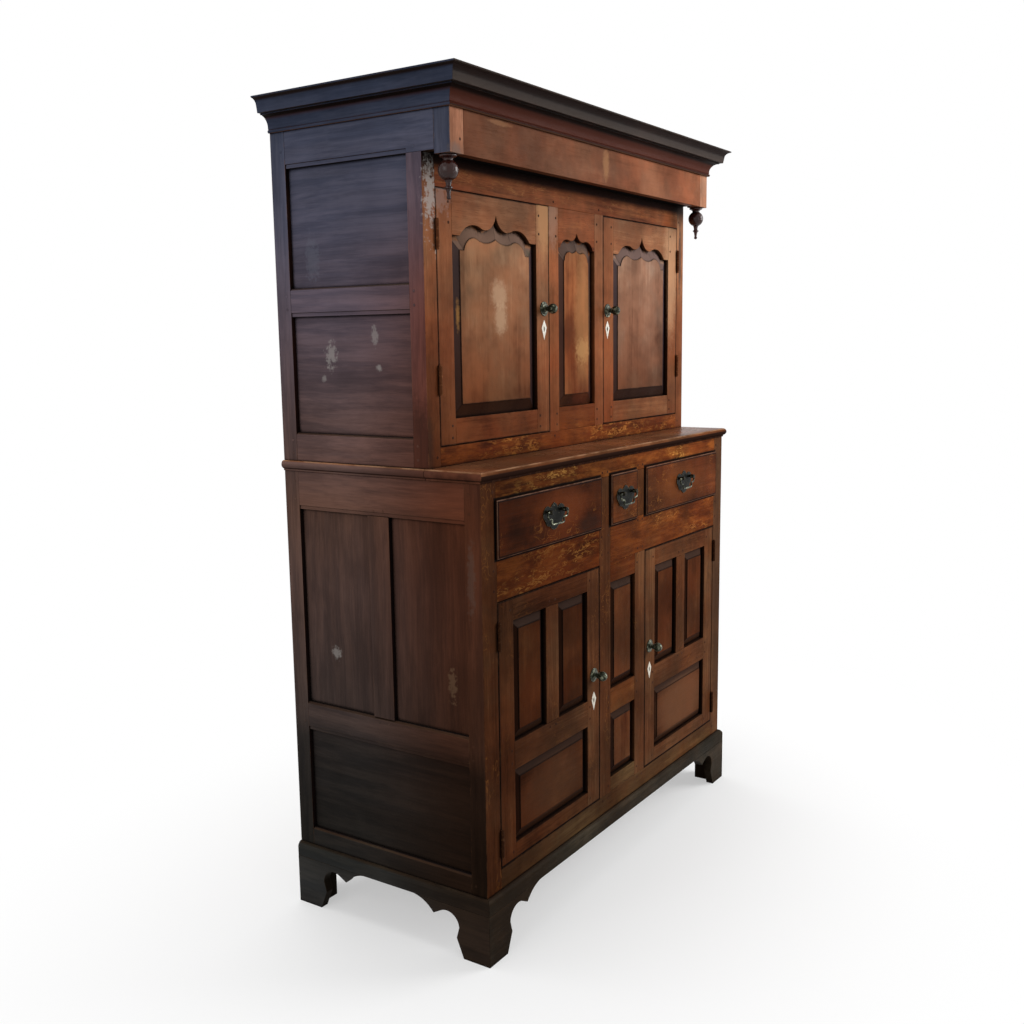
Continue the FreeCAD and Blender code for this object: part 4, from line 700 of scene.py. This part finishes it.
# %% Each finish is one call
upper_tones = ((96, 54, 32), (134, 82, 53), (168, 112, 76))
lower_tones = ((52, 31, 20), (84, 53, 34), (118, 79, 52))
rail_tones = ((60, 28, 13), (92, 46, 21), (124, 68, 32))
inside_tones = ((86, 62, 42), (128, 96, 68), (160, 128, 94))
upper_shades = (height_tint_and_light(UPPER_HEIGHT_LIGHT), upper_lit_across, upper_gap_shade)
post_gain = (1.45, 1.05, 0.92)
dry = {"wear": 0.1, "roughness": 0.75, "edges": 0}
oaks = {
    "upper_doors": oak("upper door oak", *upper_tones, marks=upper_frame_marks, shades=upper_shades, grain=0.8),
    "upper_frame": oak(
        "upper frame oak", *upper_tones, marks=upper_post_marks, shades=upper_shades, grain=0.8, front_gain=post_gain,
        end_frame=True),
    "upper_panels": oak(
        "upper panel oak", (100, 60, 38), (140, 92, 62), (174, 124, 88), grain=0.4, marks=upper_panel_marks,
        shades=(height_tint_and_light(PANEL_HEIGHT_LIGHT), panel_lit_across), slopes=upper_bevel_shade, wear=0.15, pored=0.15),
    "centre_panels": oak(
        "centre panel oak", (106, 62, 38), (148, 97, 64), (182, 128, 86), grain=0.4, marks=centre_panel_marks,
        shades=(height_tint_and_light(CENTRE_HEIGHT_TONES_AND_LIGHT),), slopes=centre_bevel_shade, wear=0.15, pored=0.15),
    "upper_rails": oak("upper rail oak", *rail_tones, fleck=0.8, shades=(height_tint_and_light(RAIL_HEIGHT_LIGHT), upper_lit_across, upper_gap_shade)),
    "frieze": oak(
        "frieze oak", (114, 72, 50), (146, 94, 68), (170, 116, 86), grain=0.5, marks=frieze_marks, edges=0.5,
        shades=(frieze_lit_across,), pored=0.15),
    "blocks": oak("corner block oak", (146, 102, 80), (188, 140, 114), (212, 170, 142), marks=block_marks, edges=0.6),
    "lower_doors": oak("lower door oak", *lower_tones, swirl=0.1, shades=(lower_lit_across, lower_gap_shade), gloss=0.006),
    "lower_frame": oak(
        "lower frame oak", *lower_tones, swirl=0.2, marks=lower_post_marks, gloss=0.006, end_frame=True,
        shades=(lower_lit_across, lower_gap_shade, drawer_gap_shade)),
    "lower_panels": oak(
        "lower panel oak", (46, 24, 12), (74, 40, 21), (100, 58, 32), grain=0.5, slopes=lower_bevel_shade, wear=0.15,
        shades=(lower_lit_across,), gloss=0.006, marks=lower_panel_sheen_and_marks),
    "lower_rails": oak(
        "lower rail oak", *rail_tones, fleck=0.9, gloss=0.006,
        shades=(height_tint_and_light(LOWER_FADE), rail_lit_across, lower_gap_shade, drawer_gap_shade)),
    "drawers": oak(
        "drawer oak", (46, 23, 11), (80, 42, 20), (120, 68, 34), swirl=0.3, wear=0.3, grain=0.5,
        shades=(lower_lit_across, drawer_lips), gloss=0.01, marks=drawer_marks),
    "ledge": oak(
        "ledge oak", (90, 51, 31), (120, 73, 47), (150, 99, 66), shades=(ledge_light_and_shade,), edges=0, gloss=0.0,
        flat_gloss=0.04, roughness=0.3, grain=0.6),
    "sides": oak("end rail oak", *inside_tones, end_gain=(1.12, 1.08, 1.08), edges=0.85, wear=0.12, end_frame=True),
    "side_panels": oak(
        "end panel oak", *inside_tones, end_gain=(0.96, 0.94, 0.94), marks=end_marks, grain=0.8, edges=0.85, wear=0.12,
        end_frame=True),
    "cornice": oak(
        "cornice oak", (30, 20, 17), (48, 30, 24), (84, 54, 42), shades=(cornice_bands_and_shade,), edges=0,
        end_gain=(0.72, 0.74, 0.78), grain=0.6, wear=0.5),
    "base": oak(
        "base oak", (32, 26, 20), (45, 37, 28), (70, 57, 43), edges=0.3, end_gain=(1.06, 1.16, 1.2),
        front_gain=(1.1, 1.34, 1.5), wear=0.6, grain=0.7),
    "turned": oak(
        "turned drop oak", (32, 13, 10), (62, 26, 20), (94, 46, 36), edges=0, gloss=0.3, roughness=0.17, wear=0.2,
        grain=0.5, end_gain=(0.0, 0.0, 0.0)),
    "inside": oak("dry inside oak", *inside_tones, corner_dirt_and_shade=0.6, gloss=0.1, **dry),
    "roof": oak("roof oak", (70, 50, 36), (104, 78, 56), (134, 104, 78), shades=(soffit_shadow,), gloss=0.02, **dry),
    "back": oak(
        "back oak", (80, 58, 42), (118, 90, 66), (150, 120, 90), corner_dirt_and_shade=0.6, shades=(nail_heads,), gloss=0.1, **dry),
    "pegs": oak("peg end oak", (34, 20, 14), (64, 40, 28), (96, 64, 45), edges=0, wear=0.3),
}
print(len(oaks), "oak finishes")

# %% [markdown]
# ## Metal and bone
# The handles and knobs are brass that has gone dark and greenish, bright where hands rub it, with painted highlights
# along their edges. The hinges and locks are iron under the same brown wax as the doors. The keyhole plates are
# yellowed bone.

# %% Bronze, iron and bone
KEYHOLE_RAISED = 0.0025
KEYHOLE_SIZE = (0.0042, 0.01, 0.0088)
KNUCKLE_TINT = (3.0, 2.7, 2.4, 1)


def metal(name, dark, bright, rub_from, rub_to, roughness, metallic):
    """Old metal, rubbed bright in patches, with painted highlights on its edges and grime in its hollows. Waxed iron is
    no mirror, so its metallic is 0.
    """
    material, tree = new_material(name)
    place = place_of(tree)
    clouds = noise(place, 130, 4, 0.65)
    # Painted highlights: the rounded edges are made bright, together with the rubbed patches.
    edge_highlight = between(flatness(tree, 0.0012), 0.99, 0.8)
    rubbed = plus(between(clouds, rub_from, rub_to), times(edge_highlight, 0.8), clamp=True)
    colour = mixed(rubbed, paint(*dark), paint(*bright))
    colour = mixed(between(openness(tree, 0.008), 0.75, 0.3, 0, 0.9), colour, GRIME_AND_SHADE)
    if not metallic:
        axes = parts_of(place)
        knuckle = times(between(axes["Z"], 1.08, 1.16), between(axes["Y"], -0.129, -0.1315))
        colour = mixed(knuckle, colour, tinted(colour, KNUCKLE_TINT))
    dull = between(rubbed, 0, 1, roughness + 0.2, roughness)
    finish_material(tree, colour, dull, bumped(tree, clouds, 0.3, 0.0008), 0.25 * metallic + 0.01, metallic)
    return material


def bone_finish():
    """Bone with fine streaks, brown stains and a painted keyhole in each plate, dark for the shade inside the hole."""
    material, tree = new_material("yellowed bone")
    place = place_of(tree)
    streak = noise(vector_of("MULTIPLY", place, (900, 300, 120)), 1, 2)
    stain = noise(place, 60, 3, 0.6)
    colour = mixed(between(streak, 0.35, 0.7), paint(246, 240, 226), paint(228, 216, 192))
    colour = mixed(between(stain, 0.56, 0.78), colour, paint(150, 124, 92))
    for door in DOORS:
        low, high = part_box(door + "_escutcheon")
        hole = (low + high) / 2
        hole.z += KEYHOLE_RAISED
        # A painted keyhole: a dark spot standing in for the hole and the shade inside it.
        colour = mixed(mark(place, stain, hole, KEYHOLE_SIZE, 0.1), colour, paint(30, 21, 16))
    finish_material(tree, colour, between(stain, 0.3, 0.7, 0.35, 0.55), bumped(tree, streak, 0.2, 0.0004))
    return material


bronze = metal("dark greenish bronze", (15, 16, 12), (164, 152, 118), 0.6, 0.78, 0.2, 0.15)
handled = metal("rubbed bronze with painted edge highlights", (44, 47, 36), (168, 170, 144), 0.5, 0.68, 0.16, 0.35)
iron = metal("waxed iron", (60, 36, 23), (98, 64, 42), 0.5, 0.75, 0.5, 0.0)
bone = bone_finish()

# %% Which finish each node takes
finish_of = {
    "base_moulding": "base", "bracket_feet": "base", "centre_panels": "centre_panels", "cornice": "cornice",
    "drawer_runners": "inside", "frieze_board": "frieze", "frieze_corner_blocks": "blocks", "head_boards": "roof",
    "ledge_board_and_mouldings": "ledge", "lower_back_boards": "back", "lower_inner_boards": "inside",
    "lower_muntins": "lower_frame", "lower_posts": "lower_frame", "lower_rails": "lower_rails",
    "lower_side_panels": "side_panels", "lower_side_rails": "sides", "upper_back_boards": "back",
    "upper_inner_boards": "inside", "upper_rails": "upper_rails", "upper_side_panels": "side_panels",
    "upper_side_rails": "sides", "upper_stiles": "upper_frame",
}
for door in DOORS:
    stage = door.split("_")[0]
    finish_of[door + "_frame"] = stage + "_doors"
    finish_of[door + "_panels"] = stage + "_panels"
for drawer in DRAWERS:
    finish_of[drawer + "_front"] = "drawers"
    finish_of[drawer + "_box"] = "inside"

# %% [markdown]
# ## Boards with eased edges
# A board fresh from the solid model has edges like a razor, and no old oak has. The solid's own mesh must stay as
# it is, so each wooden node gets a copy. The copy's triangles are read one board at a time: a board is complete when
# every edge has been met twice. Each board is then merged, its flat faces are joined up, and its edges are bevelled.

# %% Read a node board by board
DOUBLES = 0.00001


def boards_of(mesh):
    """The triangles of each closed board, in the mesh's own order."""
    corners = [tuple(round(c, 6) for c in v.co) for v in mesh.vertices]
    open_edges = set()
    board = []
    for face in mesh.polygons:
        points = [corners[i] for i in face.vertices]
        board.append(face)
        for pair in zip(points, points[1:] + points[:1]):
            open_edges ^= {tuple(sorted(pair))}
        if not open_edges:
            yield board
            board = []
    if board:
        yield board


def board_bmesh(mesh, faces):
    """One board on its own, with its doubles merged."""
    bm = bmesh.new()
    bm.from_mesh(mesh)
    bm.faces.ensure_lookup_table()
    keep = {face.index for face in faces}
    bmesh.ops.delete(bm, geom=[f for f in bm.faces if f.index not in keep], context="FACES")
    bmesh.ops.remove_doubles(bm, verts=bm.verts, dist=DOUBLES)
    return bm


# %% Ease the edges
EDGE_EASE = 0.0012
DOOR_EASE = 0.0018
SHARP = math.radians(24)
FLAT = math.radians(0.4)


def size_of(bm):
    """The low and the high corner of a board's box."""
    corners = list(zip(*(v.co for v in bm.verts)))
    return Vector([min(c) for c in corners]), Vector([max(c) for c in corners])


def bevel(bm, edges, amount):
    bmesh.ops.bevel(bm, geom=edges, offset=amount, offset_type="OFFSET", segments=2, profile=0.5, affect="EDGES",
                    clamp_overlap=True, material=-1)


def ease(bm, amount):
    """Joins flat faces up and bevels the sharp edges."""
    bmesh.ops.dissolve_limit(bm, angle_limit=FLAT, verts=bm.verts, edges=bm.edges)
    sharp = [e for e in bm.edges if len(e.link_faces) == 2 and e.calc_face_angle(0) > SHARP]
    bevel(bm, sharp, amount)


# %% Put a finished piece in the scene
def with_grain(bm, grain, number):
    """Writes the two attributes that the oak reads."""
    grain_layer = bm.verts.layers.float_vector.new("grain")
    board_layer = bm.verts.layers.float.new("board")
    for v in bm.verts:
        v[grain_layer] = grain
        v[board_layer] = number


def mesh_from(name, parts):
    """One mesh from several bmeshes, which are freed."""
    whole = bmesh.new()
    for bm in parts:
        spare = bpy.data.meshes.new("spare")
        bm.to_mesh(spare)
        bm.free()
        whole.from_mesh(spare)
        bpy.data.meshes.remove(spare)
    mesh = bpy.data.meshes.new(name)
    whole.to_mesh(mesh)
    whole.free()
    return mesh


def show(name, parts, finish, body, slot):
    """A piece from one or more bmeshes, with its finish, that rides on a body."""
    mesh = mesh_from(name, parts)
    mesh.shade_smooth()
    mesh.materials.append(finish)
    piece = linked(name, mesh)
    piece.modifiers.new("even shading", "WEIGHTED_NORMAL").keep_sharp = True
    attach(piece, body)
    return piece


# %% Dress each wooden node
board_boxes = {}


def dress(node, finish, amount):
    """A copy of a node with eased boards, each with its grain direction and its own number."""
    source = frame["nodes"][node].data
    luck = random.Random(node)
    board_boxes[node] = []
    boards = []
    for faces in boards_of(source):
        bm = board_bmesh(source, faces)
        low, high = size_of(bm)
        axis = max(range(3), key=lambda i: high[i] - low[i])
        board_boxes[node].append((low, high, axis))
        number = luck.random()
        ease(bm, amount)
        with_grain(bm, Vector([1.0 if i == axis else 0.0 for i in range(3)]), number)
        boards.append(bm)
    piece = show(node + "_boards", boards, finish, body_of_node[node], slot_of_node[node])
    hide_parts(node)
    return piece


faces = 0
for node, finish in finish_of.items():
    amount = DOOR_EASE if "door" in node or node.endswith("_front") else EDGE_EASE
    faces += len(dress(node, oaks[finish], amount).data.polygons)
print(len(finish_of), "wooden nodes dressed,", faces, "faces")

# %% Metal and bone nodes get their finish
metal_of = {"bronze": bronze, "iron": iron, "bone": bone}
for node, shown in frame["nodes"].items():
    if slot_of_node[node] in metal_of:
        shown.data.materials.clear()
        shown.data.materials.append(metal_of[slot_of_node[node]])

# %% [markdown]
# ## Turned work
# Knobs and drops come off a lathe. A subdivision surface could round them, but spinning one profile is how they are
# really made, and every bead stays where the turner put it. The profile is written in millimetres as radius and
# distance, its corners are cut twice to soften them, and it is spun round its axis.

# %% Profiles and spinning
MM = 0.001
TURNED_DOUBLES = 0.000002
TURNED_STEPS = 40


def ball(radius, centre, first, last, count=20):
    """Points round a ball between two angles, measured from its equator."""
    turns = [math.radians(first + (last - first) * n / count) for n in range(count + 1)]
    return [(radius * math.cos(t), centre + radius * math.sin(t)) for t in turns]


def soften(points, rounds=2):
    """Cut each corner at a quarter and three quarters of its sides."""
    for _ in range(rounds):
        cut = [points[0]]
        for a, b in zip(points, points[1:]):
            cut += [tuple((1 - t) * p + t * q for p, q in zip(a, b)) for t in (0.25, 0.75)]
        points = cut + [points[-1]]
    return points


def stand(bm, foot, way):
    """Turns a solid that was made upright, so that it stands on its foot and points the way."""
    bmesh.ops.recalc_face_normals(bm, faces=bm.faces)
    lay = UP.rotation_difference(way).to_matrix().to_4x4()
    bmesh.ops.transform(bm, matrix=Matrix.Translation(foot) @ lay, verts=bm.verts)


def spun(profile, centre, axis):
    """A turned solid: the profile's distances run from centre along axis."""
    bm = bmesh.new()
    rings = [bm.verts.new((max(radius, 0.0) * MM, 0, far * MM)) for radius, far in soften(profile)]
    chain = [bm.edges.new(pair) for pair in zip(rings, rings[1:])]
    bmesh.ops.spin(bm, geom=rings + chain, axis=(0, 0, 1), angle=math.tau, steps=TURNED_STEPS, use_merge=True)
    bmesh.ops.remove_doubles(bm, verts=bm.verts, dist=TURNED_DOUBLES)
    stand(bm, centre, Vector(axis))
    return bm


# %% Knobs
knob_profile = [(0, 0), (18, 0), (18, 1.3), (17.0, 2.2), (15.4, 2.2), (14.6, 1.9), (13.6, 3.0), (11.0, 3.9), (7.6, 4.6),
                (5.9, 6.6), (5.3, 9.4), (5.5, 11.6), (7.4, 12.5), (7.4, 13.7), (5.6, 14.2)]
knob_profile += ball(12.5, 25.5, -64, 90)
for door in DOORS:
    low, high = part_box(door + "_knob")
    foot = Vector(((low[0] + high[0]) / 2, high[1], (low[2] + high[2]) / 2))
    knob = show(door + "_turned_knob", [spun(knob_profile, foot, (0, -1, 0))], handled, door, "bronze")
    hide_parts(door + "_knob")
print("knob faces", len(knob.data.polygons))

# %% Drops under the corner blocks
drop_profile = [(0, 0), (19.4, 0), (19.4, 4.2), (17.0, 5.4), (12.6, 7.2), (10.6, 9.6), (10.4, 11.2)]
drop_profile += ball(22.0, 32.2, -61, 69, 26)
drop_profile += [(6.4, 56.0), (5.5, 62.0), (5.5, 64.6), (8.2, 65.8), (8.4, 67.6), (8.2, 69.4), (5.5, 70.6), (4.4, 76.0),
                 (3.4, 83.4)]
drop_profile += ball(4.6, 87.4, -42, 90, 12)
DROP_PLACE = (0.621, -0.184, 1.785)
drops = []
for side in (-1, 1):
    bm = spun(drop_profile, Vector((side * DROP_PLACE[0], *DROP_PLACE[1:])), (0, 0, -1))
    with_grain(bm, (0, 0, 1), 0.3 + 0.2 * side)
    drops.append(bm)
turned_drops = show("turned_drops", drops, oaks["turned"], "case", "oak_dark")
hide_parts("pendants")
print("drop faces", len(turned_drops.data.polygons))

# %% [markdown]
# ## Swan-neck bails
# Each bail is bent from one wire that is thicker in the middle, where fingers pull. A curve object with a bevel
# would have one thickness, so rings are set along the bent path and skinned.

# %% Bend and skin a bail
WIRE = 2.2
WIRE_SIDES = 14
GRIP_EXTRA = 0.7
GRIP_HALF = 0.024
BAIL_HALF_PATH = [(28.0, 0.0), (40.0, 0.2), (46.4, -1.0), (44.6, -8.0), (42.0, -15.6), (35.0, -16.8), (26.4, -17.2),
                  (26.4, -22.0), (28.2, -28.6), (22.0, -30.0), (10.0, -30.0)]


def bail(centre):
    """A wire skinned along both halves of the path, thicker in the middle of its low bar."""
    right = [Vector((x * MM, 0, z * MM)) for x, z in BAIL_HALF_PATH]
    left = [Vector((-p.x, 0, p.z)) for p in reversed(right)]
    path = [Vector(p) for p in soften([tuple(p) for p in right + left], 3)]
    bm = bmesh.new()
    rings = []
    across = Vector((0, 1, 0))
    turns = [math.tau * k / WIRE_SIDES for k in range(WIRE_SIDES)]
    for n, point in enumerate(path):
        ahead = (path[min(n + 1, len(path) - 1)] - path[max(n - 1, 0)]).normalized()
        side = ahead.cross(across)
        grip = max(0.0, 1 - abs(point.x) / GRIP_HALF) if point.z < -GRIP_HALF else 0.0
        radius = (WIRE + GRIP_EXTRA * grip) * MM
        spokes = [side * math.cos(turn) + across * math.sin(turn) for turn in turns]
        rings.append([bm.verts.new(centre + point + spoke * radius) for spoke in spokes])
    for a, b in zip(rings, rings[1:]):
        for k in range(WIRE_SIDES):
            m = (k + 1) % WIRE_SIDES
            bm.faces.new((a[k], a[m], b[m], b[k]))
    bm.faces.new(rings[0][::-1])
    bm.faces.new(rings[-1])
    bmesh.ops.recalc_face_normals(bm, faces=bm.faces)
    return bm


for joint in frame["record"]["behaviour"]["joints"]:
    if joint["name"].endswith("_bail_hinge"):
        body = joint["child"]
        bent = show(body + "_bent", [bail(Vector(joint["pos_m"]))], handled, body, "bronze")
        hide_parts(body)
print("bail faces", len(bent.data.polygons))

# %% [markdown]
# ## Pegs
# Every tenon is held by oak pegs driven through its mortise, and their end grain stands a hair proud of the frame.
# Their places could be typed in one by one. It is surer to find them: where the box of one board of a frame ends
# against the side of another, a tenon goes on into that other board, and its pegs stand just past the shoulder.

# %% Find the tenons
PEG_RADIUS = 0.0034
PEG_PROUD = 0.0004
PEG_SET = 0.012
PEG_BURIED = 0.0016
PEG_EASE = 0.0005
TOUCHING = 0.001
LEAST_TENON = (0.02, 0.008)
WIDE_TENON = 0.055
BACK_SIDE = 0.3


def peg_places(boards):
    """Middle and direction of each peg in a list of boards."""
    for a_low, a_high, a_axis in boards:
        for b_low, b_high, b_axis in boards:
            thin = 3 - a_axis - b_axis
            if a_axis == b_axis or thin == 2:
                continue
            low = [max(p, q) for p, q in zip(a_low, b_low)]
            high = [min(p, q) for p, q in zip(a_high, b_high)]
            width = high[b_axis] - low[b_axis]
            if width < LEAST_TENON[0] or high[thin] - low[thin] < LEAST_TENON[1]:
                continue
            way = Vector()
            way[thin] = -1 if low[thin] + high[thin] < 0 else 1
            shares = (0.27, 0.73) if width > WIDE_TENON else (0.5,)
            for side, end, inward in ((b_low, a_high, 1), (b_high, a_low, -1)):
                if abs(side[a_axis] - end[a_axis]) > TOUCHING:
                    continue
                for share in shares:
                    spot = Vector()
                    spot[a_axis] = side[a_axis] + inward * PEG_SET
                    spot[b_axis] = low[b_axis] + share * width
                    spot[thin] = b_low[thin] if way[thin] < 0 else b_high[thin]
                    yield spot, way


def peg(spot, way, luck):
    """One peg, cut a little out of round, with its end eased."""
    bm = bmesh.new()
    made = bmesh.ops.create_circle(bm, cap_ends=True, segments=11, radius=PEG_RADIUS)
    for v in made["verts"]:
        v.co *= 1 + luck.uniform(-0.09, 0.09)
    lid = bmesh.ops.extrude_face_region(bm, geom=bm.faces[:])
    top = [v for v in lid["geom"] if isinstance(v, bmesh.types.BMVert)]
    bmesh.ops.translate(bm, verts=top, vec=(0, 0, PEG_BURIED + PEG_PROUD))
    rim = [e for e in bm.edges if all(v in top for v in e.verts)]
    bevel(bm, rim, PEG_EASE)
    stand(bm, spot - way * PEG_BURIED, way)
    with_grain(bm, way, luck.random())
    return bm


# %% Drive the pegs
frame_nodes = {
    "case": [["upper_stiles", "upper_rails", "upper_side_rails"],
             ["lower_posts", "lower_muntins", "lower_rails", "lower_side_rails"]],
} | {door: [[door + "_frame"]] for door in DOORS}
for body, groups in frame_nodes.items():
    luck = random.Random(body)
    spots = []
    for nodes in groups:
        boards = [board for node in nodes for board in board_boxes[node]]
        spots += [(spot, way) for spot, way in peg_places(boards) if abs(spot.y) < BACK_SIDE]
    driven = [peg(spot, way, luck) for spot, way in spots]
    show(body + "_pegs", driven, oaks["pegs"], body, "oak_stile")
    print(body, len(driven), "pegs")

# %% [markdown]
# ## Floor, air and lamps
# The photograph was cut out on white, with a soft shadow under the feet. A floor that is lit near the feet and glows
# by itself farther off keeps that shadow and fades into the white air, with no line at the horizon.

# %% White floor that keeps the shadow
FLOOR_HALF = 25.0
SHADOW_SQUEEZE = 0.62


def white_floor():
    """Plain white near the feet, glowing farther off, and dim to scattered light so that it lights nothing."""
    material, tree = new_material("white studio floor")
    axes = parts_of(place_of(tree))
    far = distance(times(axes["X"], SHADOW_SQUEEZE), axes["Y"])
    glowing = between(far, 0.35, 1.3, 0.45, 1.0)
    bright = add(tree, "BsdfDiffuse", {"Color": (1, 1, 1, 1)}).outputs[0]
    glow = add(tree, "Emission", {"Color": (1, 1, 1, 1), "Strength": 1.0}).outputs[0]
    shown = add(tree, "MixShader", {0: glowing, 1: bright, 2: glow}).outputs[0]
    dim = add(tree, "BsdfDiffuse", {"Color": paint(150, 150, 150)}).outputs[0]
    surface = add(tree, "MixShader", {0: direct_rays(tree), 1: dim, 2: shown}).outputs[0]
    add(tree, "OutputMaterial", {"Surface": surface})
    return material


bm = bmesh.new()
bmesh.ops.create_grid(bm, x_segments=1, y_segments=1, size=FLOOR_HALF)
floor = linked("floor", mesh_from("floor", [bm]))
floor.data.materials.append(white_floor())

# %% Even air and soft lamps
AIR_LIGHT = 0.38
world = bpy.data.worlds.new("studio air")
world.use_nodes = True
air = world.node_tree
air.nodes.clear()
strength = between(direct_rays(air), 0, 1, AIR_LIGHT, 1.0)
glow = add(air, "Background", {"Color": (1, 1, 1, 1), "Strength": strength}).outputs[0]
add(air, "OutputWorld", {"Surface": glow})
bpy.context.scene.world = world


def soft_lamp(name, place, size, power):
    """A square lamp that looks at the middle of the cupboard."""
    lamp = linked(name, bpy.data.lights.new(name, "AREA"))
    lamp.data.size = size
    lamp.data.energy = power
    lamp.location = place
    lamp.rotation_euler = (Vector((0, 0, 1.0)) - Vector(place)).to_track_quat("-Z", "Y").to_euler()


soft_lamp("front lamp", (2.9, -2.9, 2.3), 2.4, 125)
soft_lamp("side lamp", (-4.4, 0.2, 2.6), 2.6, 40)
soft_lamp("top lamp", (0.0, 1.2, 4.6), 3.4, 110)
